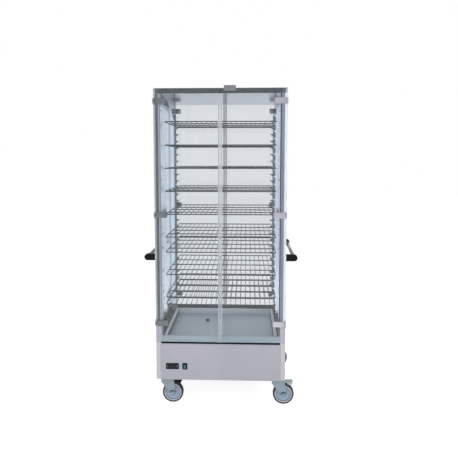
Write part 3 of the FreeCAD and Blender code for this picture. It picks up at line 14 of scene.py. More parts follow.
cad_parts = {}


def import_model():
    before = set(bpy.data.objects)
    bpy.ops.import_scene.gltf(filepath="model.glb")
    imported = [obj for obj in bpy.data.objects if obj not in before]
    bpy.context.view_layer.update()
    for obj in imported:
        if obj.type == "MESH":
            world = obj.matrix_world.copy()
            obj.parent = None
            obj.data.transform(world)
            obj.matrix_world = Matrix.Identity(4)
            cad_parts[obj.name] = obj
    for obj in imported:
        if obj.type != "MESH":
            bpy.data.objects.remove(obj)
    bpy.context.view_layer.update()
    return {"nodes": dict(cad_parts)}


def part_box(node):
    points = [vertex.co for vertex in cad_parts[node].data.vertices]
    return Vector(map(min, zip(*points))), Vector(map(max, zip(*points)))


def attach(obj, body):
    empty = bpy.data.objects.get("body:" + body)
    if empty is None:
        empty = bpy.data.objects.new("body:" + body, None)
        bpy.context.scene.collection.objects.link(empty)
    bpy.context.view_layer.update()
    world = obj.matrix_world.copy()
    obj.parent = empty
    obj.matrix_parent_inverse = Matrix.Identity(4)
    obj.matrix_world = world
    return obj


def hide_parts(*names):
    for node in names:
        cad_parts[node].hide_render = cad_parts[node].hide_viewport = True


LOG = logging.getLogger("display_cart")
CORNERS = ("front_left", "front_right", "rear_left", "rear_right")
SHELVES = tuple(f"wire_shelf_{index:02d}" for index in range(1, 11))
SIDES = (-1, 1)
ALIGNED = 0.99  # least part of a unit direction that counts as along an axis
NEAR = 1e-4  # distance in metres within which a place counts as on a face
Place = Sequence[float]
Span = tuple[float, float]
Colour = tuple[float, float, float]
PlaceTest = Callable[[Vector, Vector], bool]
Socket = bpy.types.NodeSocket
Feeds = dict[str | int, object]


class Grain(Enum):
    """Direction in which a sheet was brushed."""

    ACROSS = (0.03, 1.0, 1.0)
    DEEP = (1.0, 0.03, 1.0)
    UPRIGHT = (1.0, 1.0, 0.03)
    NONE = (1.0, 1.0, 1.0)


class Axis(Enum):
    """Axis of the shared frame."""

    X = 0
    Y = 1
    Z = 2


class Soft(float, Enum):
    """Width of a softened edge."""

    HAIR = 0.0001
    TINY = 0.0003
    SMALL = 0.0004
    FINE = 0.0005
    PLAIN = 0.0006
    FIRM = 0.0008
    FULL = 0.0009
    BROAD = 0.001
    HEAVY = 0.0012


def where(axis: Axis | None = None, **places: float) -> PlaceTest:
    """Test for edges along an axis, faces across it, or anything at a place.

    Args:
        axis: the axis, if any.
        places: coordinates of the middle, as x, y or z.

    Returns:
        The test, which takes the middle and the direction or normal.
    """
    def fits(at: Vector, way: Vector) -> bool:
        """True if the direction and the middle are right."""
        right = axis is None or abs(way[axis.value]) > ALIGNED
        return right and all(abs(getattr(at, key) - places[key]) < NEAR for key in places)
    return fits


class Shaper:
    """One new mesh, shaped step by step with Blender's own operators."""

    def __init__(self, piece: bpy.types.Object) -> None:
        """Keep the object that the steps work on."""
        self.piece = piece

    @staticmethod
    def clear() -> None:
        """Leave edit mode and deselect everything."""
        if bpy.context.object is not None and bpy.context.object.mode != "OBJECT":
            bpy.ops.object.mode_set(mode="OBJECT")
        bpy.ops.object.select_all(action="DESELECT")

    @classmethod
    def _begin(cls, name: str, size: Place = (1, 1, 1)) -> Shaper:
        """Name the new primitive and put its place and size into its mesh.

        Args:
            name: name of the piece.
            size: scale along X, Y and Z.

        Returns:
            The shaper of the new piece.
        """
        piece = bpy.context.object
        piece.name = piece.data.name = name
        piece.scale = size
        bpy.ops.object.transform_apply(location=True, rotation=True, scale=True)
        return cls(piece)

    @classmethod
    def block(cls, name: str, low: Place, high: Place) -> Shaper:
        """Start from a box.

        Args:
            name: name of the piece.
            low: lowest corner.
            high: highest corner.

        Returns:
            The shaper of the box.
        """
        cls.clear()
        lowest, highest = Vector(low), Vector(high)
        bpy.ops.mesh.primitive_cube_add(size=1, location=(lowest + highest) / 2)
        return cls._begin(name, highest - lowest)

    @classmethod
    def slab(cls, name: str, low: Place, high: Place, corner: float, steps: int = 4) -> Shaper:
        """Start from a box whose edges along Y are rounded."""
        return cls.block(name, low, high).round_edges(where(Axis.Y), corner, steps)

    @classmethod
    def drum(cls, name: str, radius: float, start: Place, end: Place, sides: int = 48) -> Shaper:
        """Start from a cylinder between two points.

        Args:
            name: name of the piece.
            radius: radius of the cylinder.
            start: centre of one end.
            end: centre of the other end.
            sides: number of side faces.

        Returns:
            The shaper of the cylinder.
        """
        cls.clear()
        first, last = Vector(start), Vector(end)
        way = last - first
        bpy.ops.mesh.primitive_cylinder_add(
            vertices=sides, radius=radius, depth=way.length, location=(first + last) / 2,
            rotation=way.to_track_quat("Z", "Y").to_euler(),
        )
        return cls._begin(name)

    @classmethod
    def rod(cls, name: str, radius: float, at: Span, ends: Span, sides: int = 48) -> Shaper:
        """Start from a cylinder along Y, at a place in X and Z."""
        (x, z), (start, end) = at, ends
        return cls.drum(name, radius, (x, start, z), (x, end, z), sides)

    @classmethod
    def ball(cls, name: str, radius: float, centre: Place, size: Place) -> Shaper:
        """Start from a sphere, scaled along the axes.

        Args:
            name: name of the piece.
            radius: radius of the sphere.
            centre: its centre.
            size: scale along X, Y and Z.

        Returns:
            The shaper of the sphere.
        """
        cls.clear()
        rings = {"segments": 40, "ring_count": 20}
        bpy.ops.mesh.primitive_uv_sphere_add(radius=radius, location=centre, **rings)
        return cls._begin(name, size)

    def activate(self) -> None:
        """Select this piece alone, as the active one."""
        self.clear()
        self.piece.select_set(True)
        bpy.context.view_layer.objects.active = self.piece

    def pick(self, mode: str, test: PlaceTest) -> int:
        """Enter edit mode and select the points, edges or faces that pass a test.

        Args:
            mode: VERT, EDGE or FACE.
            test: takes the middle, and an edge's direction or the normal.

        Returns:
            How many are selected.
        """
        self.activate()
        bpy.ops.object.mode_set(mode="EDIT")
        bpy.ops.mesh.select_mode(type=mode)
        bpy.ops.mesh.select_all(action="DESELECT")
        mesh = bmesh.from_edit_mesh(self.piece.data)
        if mode == "EDGE":
            ends = [(edge, *(point.co for point in edge.verts)) for edge in mesh.edges]
            found = [(edge, (a + b) / 2, (b - a).normalized()) for edge, a, b in ends]
        elif mode == "FACE":
            found = [(face, face.calc_center_median(), face.normal) for face in mesh.faces]
        else:
            found = [(point, point.co, point.normal) for point in mesh.verts]
        chosen = [part for part, middle, way in found if test(middle, way)]
        for part in chosen:
            part.select_set(True)
        bmesh.update_edit_mesh(self.piece.data)
        return len(chosen)

    def change(self, mode: str, test: PlaceTest, *steps: Callable[[], object]) -> Shaper:
        """Run operators on what passes a test.

        Args:
            mode: VERT, EDGE or FACE.
            test: takes the middle, and an edge's direction or the normal.
            steps: calls of the operators.

        Returns:
            This shaper.
        """
        if self.pick(mode, test):
            for step in steps:
                step()
        self.clear()
        return self

    def round_edges(self, test: PlaceTest, width: float, segments: int = 3) -> Shaper:
        """Bevel the edges that pass a test, in a number of steps."""
        bevel = {"offset": width, "segments": segments, "affect": "EDGES", "clamp_overlap": True}
        return self.change("EDGE", test, lambda: bpy.ops.mesh.bevel(**bevel))

    def soften(self, width: float, segments: int = 2, angle: float = 40) -> Shaper:
        """Bevel every sharp edge with a modifier that is applied.

        Args:
            width: width of the bevel.
            segments: number of steps in it.
            angle: least angle between the faces of a sharp edge, in degrees.

        Returns:
            This shaper.
        """
        self.activate()
        bevel = self.piece.modifiers.new("soft_edges", "BEVEL")
        bevel.width = width
        bevel.segments = segments
        bevel.limit_method = "ANGLE"
        bevel.angle_limit = math.radians(angle)
        bpy.ops.object.modifier_apply(modifier=bevel.name)
        return self

    def push_faces(self, test: PlaceTest, inset: float, shift: Place) -> Shaper:
        """Inset the faces that pass a test and extrude them.

        Args:
            test: takes a face's middle and normal.
            inset: width of the rim that is left.
            shift: how far the inner faces move.

        Returns:
            This shaper.
        """
        way, steps = {"value": tuple(shift)}, []
        if inset > 0:
            steps.append(lambda: bpy.ops.mesh.inset(thickness=inset, depth=0))
        if Vector(shift).length > 0:
            steps.append(lambda: bpy.ops.mesh.extrude_region_move(TRANSFORM_OT_translate=way))
        return self.change("FACE", test, *steps)

    def bridge(self, inset: float) -> Shaper:
        """Inset the two end faces across Y and join them with a bore.

        Args:
            inset: width of the rim that is left.

        Returns:
            This shaper.
        """
        return self.change(
            "FACE", where(Axis.Y), lambda: bpy.ops.mesh.inset(thickness=inset, depth=0),
            bpy.ops.mesh.bridge_edge_loops,
        )

    def move_points(self, test: PlaceTest, shift: Place) -> Shaper:
        """Move the points that pass a test."""
        return self.change("VERT", test, lambda: bpy.ops.transform.translate(value=tuple(shift)))

    def slice(self, place: Place, normal: Place, drop: bool = False) -> Shaper:
        """Cut along a plane; drop leaves out what lies before its normal and closes the cut."""
        plane = {"plane_co": place, "plane_no": normal, "clear_outer": drop, "use_fill": drop}
        return self.change("FACE", where(), lambda: bpy.ops.mesh.bisect(**plane))

    def level(self, *heights: float) -> Shaper:
        """Cut the whole mesh along level planes.

        Args:
            heights: where the planes lie.

        Returns:
            This shaper.
        """
        for height in heights:
            self.slice((0, 0, height), (0, 0, 1))
        return self

    def turn(self, angle: float, axis: Axis, centre: Place) -> Shaper:
        """Turn the whole mesh by the right-hand rule.

        Args:
            angle: angle in degrees.
            axis: axis to turn about.
            centre: a point on that axis.

        Returns:
            This shaper.
        """
        turn = {"value": -math.radians(angle), "orient_axis": axis.name, "orient_type": "GLOBAL"}
        turn["center_override"] = tuple(centre)
        return self.change("VERT", where(), lambda: bpy.ops.transform.rotate(**turn))

    def copy(self, name: str, matrix: Matrix) -> Shaper:
        """Copy the finished mesh to another place.

        Args:
            name: name of the copy.
            matrix: where it goes; a mirror image has its faces turned outwards again.

        Returns:
            The shaper of the copy.
        """
        self.clear()
        twin = self.piece.copy()
        twin.data = self.piece.data.copy()
        twin.name = twin.data.name = name
        bpy.context.scene.collection.objects.link(twin)
        twin.data.transform(matrix)
        result = Shaper(twin)
        if matrix.determinant() < 0:
            result.change("FACE", where(), bpy.ops.mesh.normals_make_consistent)
        return result

    def stand(self, name: str, place: Place, facing: Place) -> Shaper:
        """Copy a mesh that stands on the XY plane onto a surface that faces some way."""
        turn = Vector(facing).to_track_quat("Z", "Y").to_matrix().to_4x4()
        return self.copy(name, Matrix.Translation(place) @ turn)

    def join(self, others: Iterable[Shaper]) -> Shaper:
        """Join other meshes into this one.

        Args:
            others: shapers whose objects end here.

        Returns:
            This shaper.
        """
        self.activate()
        for other in others:
            other.piece.select_set(True)
        bpy.ops.object.join()
        return self

    def smooth(self, angle: float = 35) -> Shaper:
        """Shade smooth across edges that are flat enough.

        Args:
            angle: greatest angle between the faces, in degrees.

        Returns:
            This shaper.
        """
        self.activate()
        bpy.ops.object.shade_smooth_by_angle(angle=math.radians(angle))
        return self


class Nodes:
    """Node tree that is filled node by node."""

    def __init__(self, tree: bpy.types.NodeTree) -> None:
        """Keep the tree."""
        self.tree = tree

    def feed(self, node: bpy.types.Node, inputs: Feeds) -> None:
        """Fill a node's inputs.

        Args:
            node: the node.
            inputs: a value to set or a socket to link, by the input's name or number.
        """
        for key, value in inputs.items():
            if isinstance(value, Socket):
                self.tree.links.new(value, node.inputs[key])
            else:
                node.inputs[key].default_value = value

    def add(self, kind: str, inputs: Feeds | None = None, **settings: object) -> bpy.types.Node:
        """Add a node.

        Args:
            kind: its type, without the leading ShaderNode.
            inputs: its inputs, as for feed.
            settings: its settings, such as operation.

        Returns:
            The new node.
        """
        node = self.tree.nodes.new(f"ShaderNode{kind}")
        for key, value in settings.items():
            setattr(node, key, value)
        self.feed(node, inputs or {})
        return node

    def math(self, operation: str, *values: float | Socket) -> Socket:
        """Result of a calculation with values or sockets."""
        return self.add("Math", dict(enumerate(values)), operation=operation).outputs[0]

    def show(self, output: str, mask: Socket, first: Socket, second: Socket) -> None:
        """Blend two shaders by a mask into the output node."""
        mix = self.add("MixShader", {0: mask, 1: first, 2: second})
        self.feed(self.tree.nodes[output], {"Surface": mix.outputs[0]})


class Groups:
    """Shader node groups that several finishes share, each with one value output."""

    def __init__(self) -> None:
        """Build each group once."""
        self.brushing = self._brushing()
        self.handling = self._handling()
        self.moulding = self._moulding()

    @staticmethod
    def _start(name: str, output: str, *vectors: str) -> tuple[Nodes, dict[str, Socket]]:
        """Start a group with a scale and vectors as inputs.

        Args:
            name: name of the group.
            output: name of its output.
            vectors: names of the vector inputs.

        Returns:
            The group's nodes, and its inputs by name.
        """
        tree = bpy.data.node_groups.new(name, "ShaderNodeTree")
        for label in vectors:
            tree.interface.new_socket(label, in_out="INPUT", socket_type="NodeSocketVector")
        tree.interface.new_socket("Scale", in_out="INPUT", socket_type="NodeSocketFloat")
        tree.interface.new_socket(output, in_out="OUTPUT", socket_type="NodeSocketFloat")
        tree.nodes.new("NodeGroupOutput")
        source = tree.nodes.new("NodeGroupInput")
        return Nodes(tree), {label: source.outputs[label] for label in (*vectors, "Scale")}

    @staticmethod
    def _end(nodes: Nodes, value: Socket) -> bpy.types.NodeTree:
        """Link the group's output and give back its tree."""
        nodes.feed(nodes.tree.nodes["Group Output"], {0: value})
        return nodes.tree

    def _brushing(self) -> bpy.types.NodeTree:
        """Fine lines along the brushing direction.

        Returns:
            A group with the output Line.
        """
        nodes, given = self._start("brushed lines", "Line", "Place", "Stretch")
        ends = {0: given["Place"], 1: given["Stretch"]}
        drawn = nodes.add("VectorMath", ends, operation="MULTIPLY").outputs[0]
        pattern = {"Vector": drawn, "Scale": given["Scale"], "Detail": 4, "Roughness": 0.62}
        return self._end(nodes, nodes.add("TexNoise", pattern).outputs[0])

    def _handling(self) -> bpy.types.NodeTree:
        """Soft marks of wiping and handling.

        Returns:
            A group with the output Mark.
        """
        nodes, given = self._start("wiping marks", "Mark", "Place")
        pattern = {"Vector": given["Place"], "Scale": given["Scale"]}
        broad = nodes.add("TexNoise", {**pattern, "Detail": 3, "Distortion": 0.6}).outputs[0]
        spread = nodes.add("MapRange", {"Value": broad, "From Min": 0.35, "From Max": 0.7})
        return self._end(nodes, spread.outputs[0])

    def _moulding(self) -> bpy.types.NodeTree:
        """Fine pitted skin of a moulding.

        Returns:
            A group with the output Pit.
        """
        nodes, given = self._start("moulded skin", "Pit", "Place")
        pattern = {"Vector": given["Place"], "Scale": given["Scale"]}
        cells = nodes.add("TexVoronoi", pattern, feature="SMOOTH_F1")
        return self._end(nodes, cells.outputs["Distance"])


class Recipe:
    """Material under way: its nodes, its shader and the groups that it may use."""

    def __init__(self, name: str, groups: Groups) -> None:
        """Start with the shader and the Object coordinates.

        Args:
            name: name of the material.
            groups: shared node groups.
        """
        self.groups = groups
        self.material = bpy.data.materials.new(name)
        self.material.use_nodes = True
        self.nodes = Nodes(self.material.node_tree)
        self.shader = self.material.node_tree.nodes["Principled BSDF"]
        self.place = self.nodes.add("TexCoord").outputs["Object"]

    def give(self, **inputs: object) -> None:
        """Fill the shader's inputs, whose names have _ for a space."""
        self.nodes.feed(self.shader, {key.replace("_", " "): inputs[key] for key in inputs})

    def pattern(self, tree: bpy.types.NodeTree, scale: float, **inputs: Place) -> Socket:
        """Pattern of a shared group.

        Args:
            tree: the group.
            scale: scale of its pattern.
            inputs: its other inputs.

        Returns:
            The pattern's socket.
        """
        given = {"Place": self.place, "Scale": scale, **inputs}
        return self.nodes.add("Group", given, node_tree=tree).outputs[0]

    def spread(self, source: Socket, low: float, high: float) -> Socket:
        """Map a pattern from 0 to 1 onto a range of values."""
        node = self.nodes.add("MapRange", {"Value": source, "To Min": low, "To Max": high})
        return node.outputs["Result"]

    def blend(self, mask: Socket, first: Colour, second: Colour) -> Socket:
        """Blend two colours.

        Args:
            mask: socket that is 0 for the first colour and 1 for the second.
            first: first colour.
            second: second colour.

        Returns:
            The blend's socket.
        """
        given = {"A": (*first, 1), "B": (*second, 1), "Factor": mask}
        outputs = self.nodes.add("Mix", given, data_type="RGBA").outputs
        return next(socket for socket in outputs if socket.type == "RGBA")

    def bump(self, height: Socket, strength: float, depth: float) -> Socket:
        """Normal of a surface with a pattern of some strength and depth in metres."""
        inputs = {"Height": height, "Strength": strength, "Distance": depth}
        return self.nodes.add("Bump", inputs).outputs["Normal"]


@dataclass(frozen=True)
class Finish:
    """What a piece is made of and how it looks."""

    name: str

    def fill(self, recipe: Recipe) -> None:
        """Fill a material in; each kind of finish has its own way."""
        raise NotImplementedError


@dataclass(frozen=True)
class Metal(Finish):
    """Sheet, tube or wire of bare metal."""

    colour: Colour
    shade: Colour
    roughness: float
    grain: Grain = Grain.NONE
    grain_scale: float = 900.0
    waver: float = 0.08
    mark_scale: float = 3.0
    depth: float = 0.00004
    metallic: float = 1.0
    relief: float = 0.25

    def fill(self, recipe: Recipe) -> None:
        """Brushed lines and wiping marks.

        Args:
            recipe: the material under way.
        """
        lines = recipe.pattern(recipe.groups.brushing, self.grain_scale, Stretch=self.grain.value)
        marks = recipe.pattern(recipe.groups.handling, self.mark_scale)
        waver = recipe.spread(lines, -self.waver, self.waver)
        rough = recipe.spread(marks, self.roughness, self.roughness + self.waver)
        recipe.give(
            Base_Color=recipe.blend(marks, self.colour, self.shade), Metallic=self.metallic,
            Roughness=recipe.nodes.math("ADD", waver, rough),
            Normal=recipe.bump(lines, self.relief, self.depth),
        )


@dataclass(frozen=True)
class Moulded(Finish):
    """Plastic or rubber moulding."""

    colour: Colour
    shade: Colour
    roughness: float
    skin_scale: float = 1500.0
    depth: float = 0.00008
    gloss: float = 0.5
    cover: float = 1.0
    # Emission strength; above 0 it paints light onto a part that is no lamp.
    glow: float = 0.0
    mark_scale: float = 14.0
    waver: float = 0.15
    relief: float = 0.3

    def fill(self, recipe: Recipe) -> None:
        """Pitted skin, wiping marks, and painted light as emission where glow is set.

        Args:
            recipe: the material under way.
        """
        skin = recipe.pattern(recipe.groups.moulding, self.skin_scale)
        marks = recipe.pattern(recipe.groups.handling, self.mark_scale)
        recipe.give(
            Base_Color=recipe.blend(marks, self.colour, self.shade),
            Roughness=recipe.spread(marks, self.roughness, self.roughness + self.waver),
            Specular_IOR_Level=self.gloss, Alpha=self.cover,
            Emission_Color=(*self.colour, 1), Emission_Strength=self.glow,
            Normal=recipe.bump(skin, self.relief, self.depth),
        )


@dataclass(frozen=True)
class Split(Finish):
    """Two tones of one material, which meet at a place along an axis, to paint light and shade
    along it.
    """

    low_colour: Colour
    high_colour: Colour
    axis: Axis
    start: float
    end: float
    roughness: float = 0.5
    metallic: float = 0.0
    gloss: float = 0.15
    skin_scale: float = 900.0
    depth: float = 0.00008
    waver: float = 0.12
    relief: float = 0.3

    def fill(self, recipe: Recipe) -> None:
        """Pitted skin in two tones of painted light and shade.

        Args:
            recipe: the material under way.
        """
        along = recipe.nodes.add("SeparateXYZ", {0: recipe.place}).outputs[self.axis.name]
        ends = {"Value": along, "From Min": self.start, "From Max": self.end}
        share = recipe.nodes.add("MapRange", ends).outputs["Result"]
        skin = recipe.pattern(recipe.groups.moulding, self.skin_scale)
        recipe.give(
            Base_Color=recipe.blend(share, self.low_colour, self.high_colour),
            Roughness=recipe.spread(skin, self.roughness, self.roughness + self.waver),
            Metallic=self.metallic, Specular_IOR_Level=self.gloss,
            Normal=recipe.bump(skin, self.relief, self.depth),
        )


@dataclass(frozen=True)
class Pane(Finish):
    """Clear toughened glass."""

    tint: Colour
    cover: float = 1.0
    smear: float = 0.985
    mark_scale: float = 2.5
    bending: float = 1.5

    def fill(self, recipe: Recipe) -> None:
        """Glass that lets the lamps reach what is behind it.

        Args:
            recipe: the material under way.
        """
        marks = recipe.pattern(recipe.groups.handling, self.mark_scale)
        wiped = tuple(channel * self.smear for channel in self.tint)
        recipe.give(
            Base_Color=recipe.blend(marks, self.tint, wiped), Roughness=0.0, Alpha=self.cover,
            Transmission_Weight=1.0, IOR=self.bending,
        )
        shadow = recipe.nodes.add("LightPath").outputs["Is Shadow Ray"]
        clear = recipe.nodes.add("BsdfTransparent", {"Color": (*self.tint, 1)})
        recipe.nodes.show("Material Output", shadow, recipe.shader.outputs[0], clear.outputs[0])


STAINLESS = Metal(
    "satin stainless sheet", (0.40, 0.42, 0.45), (0.36, 0.385, 0.415), 0.32, Grain.ACROSS
)
FRAME_SHEET = Metal(
    "satin frame sheet", (0.51, 0.505, 0.55), (0.475, 0.47, 0.515), 0.3, Grain.UPRIGHT,
    metallic=0.35,
)
STAINLESS_FLAT = Metal(
    "satin stainless panel", (0.41, 0.405, 0.455), (0.38, 0.385, 0.435), 0.36, Grain.ACROSS
)
INNER_SHEET = Metal(
    "inner stainless sheet", (0.055, 0.062, 0.068), (0.047, 0.054, 0.06), 0.36, Grain.ACROSS,
    metallic=0.8,
)
SILL_SHEET = Metal(
    "sill sheet", (0.40, 0.48, 0.52), (0.36, 0.44, 0.48), 0.36, Grain.ACROSS, metallic=0.7
)
# Drip tray: the top face of its rim is painted pale as a highlight.
TRAY_SHEET = Split(
    "tray sheet", (0.48, 0.57, 0.615), (0.78, 0.80, 0.84), Axis.Z, 0.4262, 0.4274, 0.35, 0.3, 0.5
)
POLISHED = Metal(
    "polished ceiling sheet", (0.275, 0.35, 0.43), (0.255, 0.325, 0.40), 0.12, Grain.DEEP,
    waver=0.03,
)
# Shelf uprights: painted pale at the front as if lit, painted dark behind as if in shade.
UPRIGHT_LIT_AND_SHADED = Split(
    "upright sheet", (0.88, 0.94, 1.0), (0.20, 0.235, 0.275), Axis.Y, -0.205, -0.195, 0.15, 0.8, 0.4
)
WIRE = Metal(
    "bright wire", (0.03, 0.045, 0.052), (0.024, 0.036, 0.042), 0.4, grain_scale=300, waver=0.05,
    metallic=0.6,
)
HINGE_STEEL = Metal(
    "hinge steel", (0.50, 0.49, 0.55), (0.44, 0.44, 0.49), 0.3, Grain.UPRIGHT, mark_scale=20
)
# Tray walls: dark sheets at the sides as painted shade, a pale one at the back as painted light.
TRAY_SIDE_SHADE = Metal(
    "tray side sheet", (0.03, 0.055, 0.065), (0.026, 0.047, 0.056), 0.4, Grain.DEEP, metallic=0.3
)
TRAY_BACK_LIGHT = Metal(
    "tray back sheet", (0.76, 0.83, 0.88), (0.70, 0.77, 0.82), 0.4, Grain.UPRIGHT, metallic=0.5
)
# Hinge steel painted dark as shade, used for the front left clamps only.
SHADED_HINGE = Metal(
    "dull hinge steel", (0.20, 0.225, 0.24), (0.17, 0.19, 0.205), 0.42, Grain.UPRIGHT, mark_scale=20
)
PULL_STEEL = Metal(
    "pull steel", (0.27, 0.27, 0.30), (0.23, 0.23, 0.26), 0.4, Grain.UPRIGHT, mark_scale=20
)
TUBE = Metal(
    "bright tube", (0.24, 0.235, 0.235), (0.20, 0.195, 0.195), 0.2, Grain.DEEP, waver=0.05,
    mark_scale=8,
)
ZINC = Metal(
    "zinc plate", (0.28, 0.345, 0.40), (0.25, 0.31, 0.36), 0.38, grain_scale=200, mark_scale=25,
    metallic=0.3,
)
SCREW_STEEL = Metal(
    "dull screw steel", (0.05, 0.06, 0.065), (0.042, 0.05, 0.055), 0.42, mark_scale=25, metallic=0.3
)
HEATER = Metal("heat stained steel", (0.20, 0.17, 0.15), (0.13, 0.12, 0.12), 0.45, mark_scale=12)
GLASS = Pane("clear door glass", (0.84, 0.857, 0.882))
SIDE_GLASS = Pane("clear side glass", (0.74, 0.84, 0.97), cover=0.5)
# Pane seals: glow paints light onto them, though they are no lamp.
GLOWING_RUBBER = Moulded(
    "pale rubber", (0.50, 0.55, 0.61), (0.46, 0.51, 0.57), 0.6, 900, gloss=0.2, glow=0.48
)
# One trim as lit and shaded copies: painted pale for the left corners, dark for the right.
SHADED_TRIM = Moulded("dark trim", (0.022, 0.036, 0.062), (0.02, 0.032, 0.056), 0.6, 900, gloss=0.15)
LIT_TRIM = Moulded("pale trim", (0.24, 0.29, 0.37), (0.21, 0.26, 0.33), 0.6, 900, gloss=0.15)
# Door gaskets: nearly black at the bottom as painted shade, their own dark tone above.
GASKET = Split("door gasket", (0.006, 0.007, 0.012), (0.074, 0.102, 0.118), Axis.Z, 0.45, 0.47)
SEAL = Moulded("milky seal", (0.59, 0.62, 0.67), (0.54, 0.57, 0.62), 0.25, 700, cover=0.4)
# Corner strips: glow paints light into the rear flange corners; they are no lamp.
GLOWING_STRIP = Moulded(
    "frosted light strip", (0.75, 0.84, 0.91), (0.73, 0.82, 0.89), 0.5, 700, gloss=0.2, glow=0.37
)
HEAD_BAND = Moulded(
    "head gasket", (0.042, 0.058, 0.060), (0.038, 0.052, 0.054), 0.6, 900, gloss=0.15
)
# Pale band on the right flanges only: painted light.
LIT_BAND = Moulded("pale gasket", (0.25, 0.285, 0.345), (0.22, 0.25, 0.31), 0.6, 900, gloss=0.15)
# White strip on the right flanges only: a painted highlight.
EDGE = Moulded("white edge", (0.93, 0.94, 0.97), (0.90, 0.91, 0.94), 0.5, 900, gloss=0.15)
BLACK = Moulded("black moulding", (0.004, 0.0045, 0.006), (0.007, 0.0075, 0.009), 0.42, gloss=0.12)
INLET = Moulded("grey moulding", (0.13, 0.12, 0.14), (0.10, 0.095, 0.11), 0.4, gloss=0.3)
GLOSS_BLACK = Moulded(
    "dark display", (0.006, 0.013, 0.014), (0.005, 0.010, 0.012), 0.15, 300, 0.00001, gloss=0.25
)
KEY = Moulded("grey key", (0.05, 0.055, 0.07), (0.07, 0.075, 0.09), 0.4, gloss=0.2)
MARK = Moulded("pale print", (0.42, 0.44, 0.47), (0.36, 0.38, 0.41), 0.5, gloss=0.2)
GREEN = Moulded(
    "green rocker", (0.003, 0.040, 0.030), (0.0025, 0.034, 0.026), 0.25, 400, 0.00002, gloss=0.25
)
GREEN_RIM = Moulded("green bezel", (0.002, 0.026, 0.022), (0.002, 0.022, 0.019), 0.4, gloss=0.15)
GREEN_LENS = Moulded(
    "green lens", (0.04, 0.16, 0.135), (0.035, 0.13, 0.11), 0.2, 400, 0.00001, gloss=0.3
)
TYRE = Moulded(
    "grey tyre", (0.030, 0.040, 0.046), (0.042, 0.052, 0.058), 0.62, 700, 0.00012, gloss=0.25
)
HUB = Moulded("pale hub", (0.31, 0.395, 0.51), (0.275, 0.355, 0.465), 0.38, 900)
HUB_RIM = Moulded("pale hub rim", (0.54, 0.54, 0.59), (0.49, 0.49, 0.54), 0.38, 900)
# Pale pedal for the front right, painted light; the front left pedal is painted black as shade.
LIT_PEDAL = Moulded("pale pedal", (0.40, 0.46, 0.47), (0.35, 0.41, 0.42), 0.4)


class Paints:
    """Materials of the finishes, each made on its first use."""

    def __init__(self) -> None:
        """Build the shared groups."""
        self.groups = Groups()
        self.made: dict[str, bpy.types.Material] = {}

    def coat(self, piece: bpy.types.Object, finish: Finish) -> None:
        """Give an object one finish all over.

        Args:
            piece: the object.
            finish: its finish.
        """
        if finish.name not in self.made:
            recipe = Recipe(finish.name, self.groups)
            finish.fill(recipe)
            self.made[finish.name] = recipe.material
        piece.data.materials.clear()
        piece.data.materials.append(self.made[finish.name])


@dataclass
class Assembly:
    """Sub-assembly whose new pieces are coated and tied to the frame."""

    paints: Paints

    def dress(
        self, shaper: Shaper, slot: str, finish: Finish, *replaces: str, body: str = "cabinet"
    ) -> None:
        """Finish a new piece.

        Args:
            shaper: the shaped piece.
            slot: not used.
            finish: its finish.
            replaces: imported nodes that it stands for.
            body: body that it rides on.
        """
        piece = shaper.piece
        self.paints.coat(piece, finish)
        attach(piece, body)
        if replaces:
            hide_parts(*replaces)
        LOG.info("piece %s rides on %s", piece.name, body)


def join_all(name: str, parts: Sequence[Shaper]) -> Shaper:
    """Join parts into one piece with a name."""
    parts[0].piece.name = name
    return parts[0].join(parts[1:])


def remove(*models: Shaper) -> None:
    """Delete models that were only copied from."""
    for model in models:
        bpy.data.objects.remove(model.piece, do_unlink=True)


def signs(corner: str) -> tuple[int, int]:
    """-1 or 1 for a corner at the left or right, and for one at the front or rear."""
    return (-1 if corner.endswith("left") else 1, -1 if corner.startswith("front") else 1)


def to_corner(corner: str) -> Matrix:
    """Mirror from the rear right corner to another one."""
    return Matrix.Diagonal((*signs(corner), 1, 1))


@dataclass
class Screw:
    """Pan head, modelled once and copied."""

    radius: float = 0.0036
    height: float = 0.0018
    rounding: float = 0.55
    rim: float = 0.42
    sink: float = 0.5

    def shape(self, name: str) -> Shaper:
        """Head that stands on the XY plane and points up.

        Args:
            name: name of the piece.

        Returns:
            The shaped head.
        """
        top = self.height
        head = Shaper.drum(name, self.radius, (0, 0, 0), (0, 0, top), sides=20)
        head.round_edges(where(z=top), top * self.rounding)
        head.push_faces(where(Axis.Z, z=top), self.radius * self.rim, (0, 0, -top * self.sink))
        return head.smooth()


@dataclass
class Doors(Assembly):
    """Frameless glass doors with ground edges."""

    ground: float = 0.0009
    sharp: float = 60.0
    corner: float = 0.004

    def build(self) -> None:
        """Model each pane with chamfered edges in its node's place."""
        for corner in CORNERS:
            low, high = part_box(f"{corner}_door_glass")
            pane = Shaper.slab(f"{corner}_pane", low, high, self.corner)
            pane.soften(self.ground, segments=1, angle=self.sharp)
            body = f"{corner}_door"
            self.dress(pane, "window_glass", GLASS, f"{corner}_door_glass", body=body)


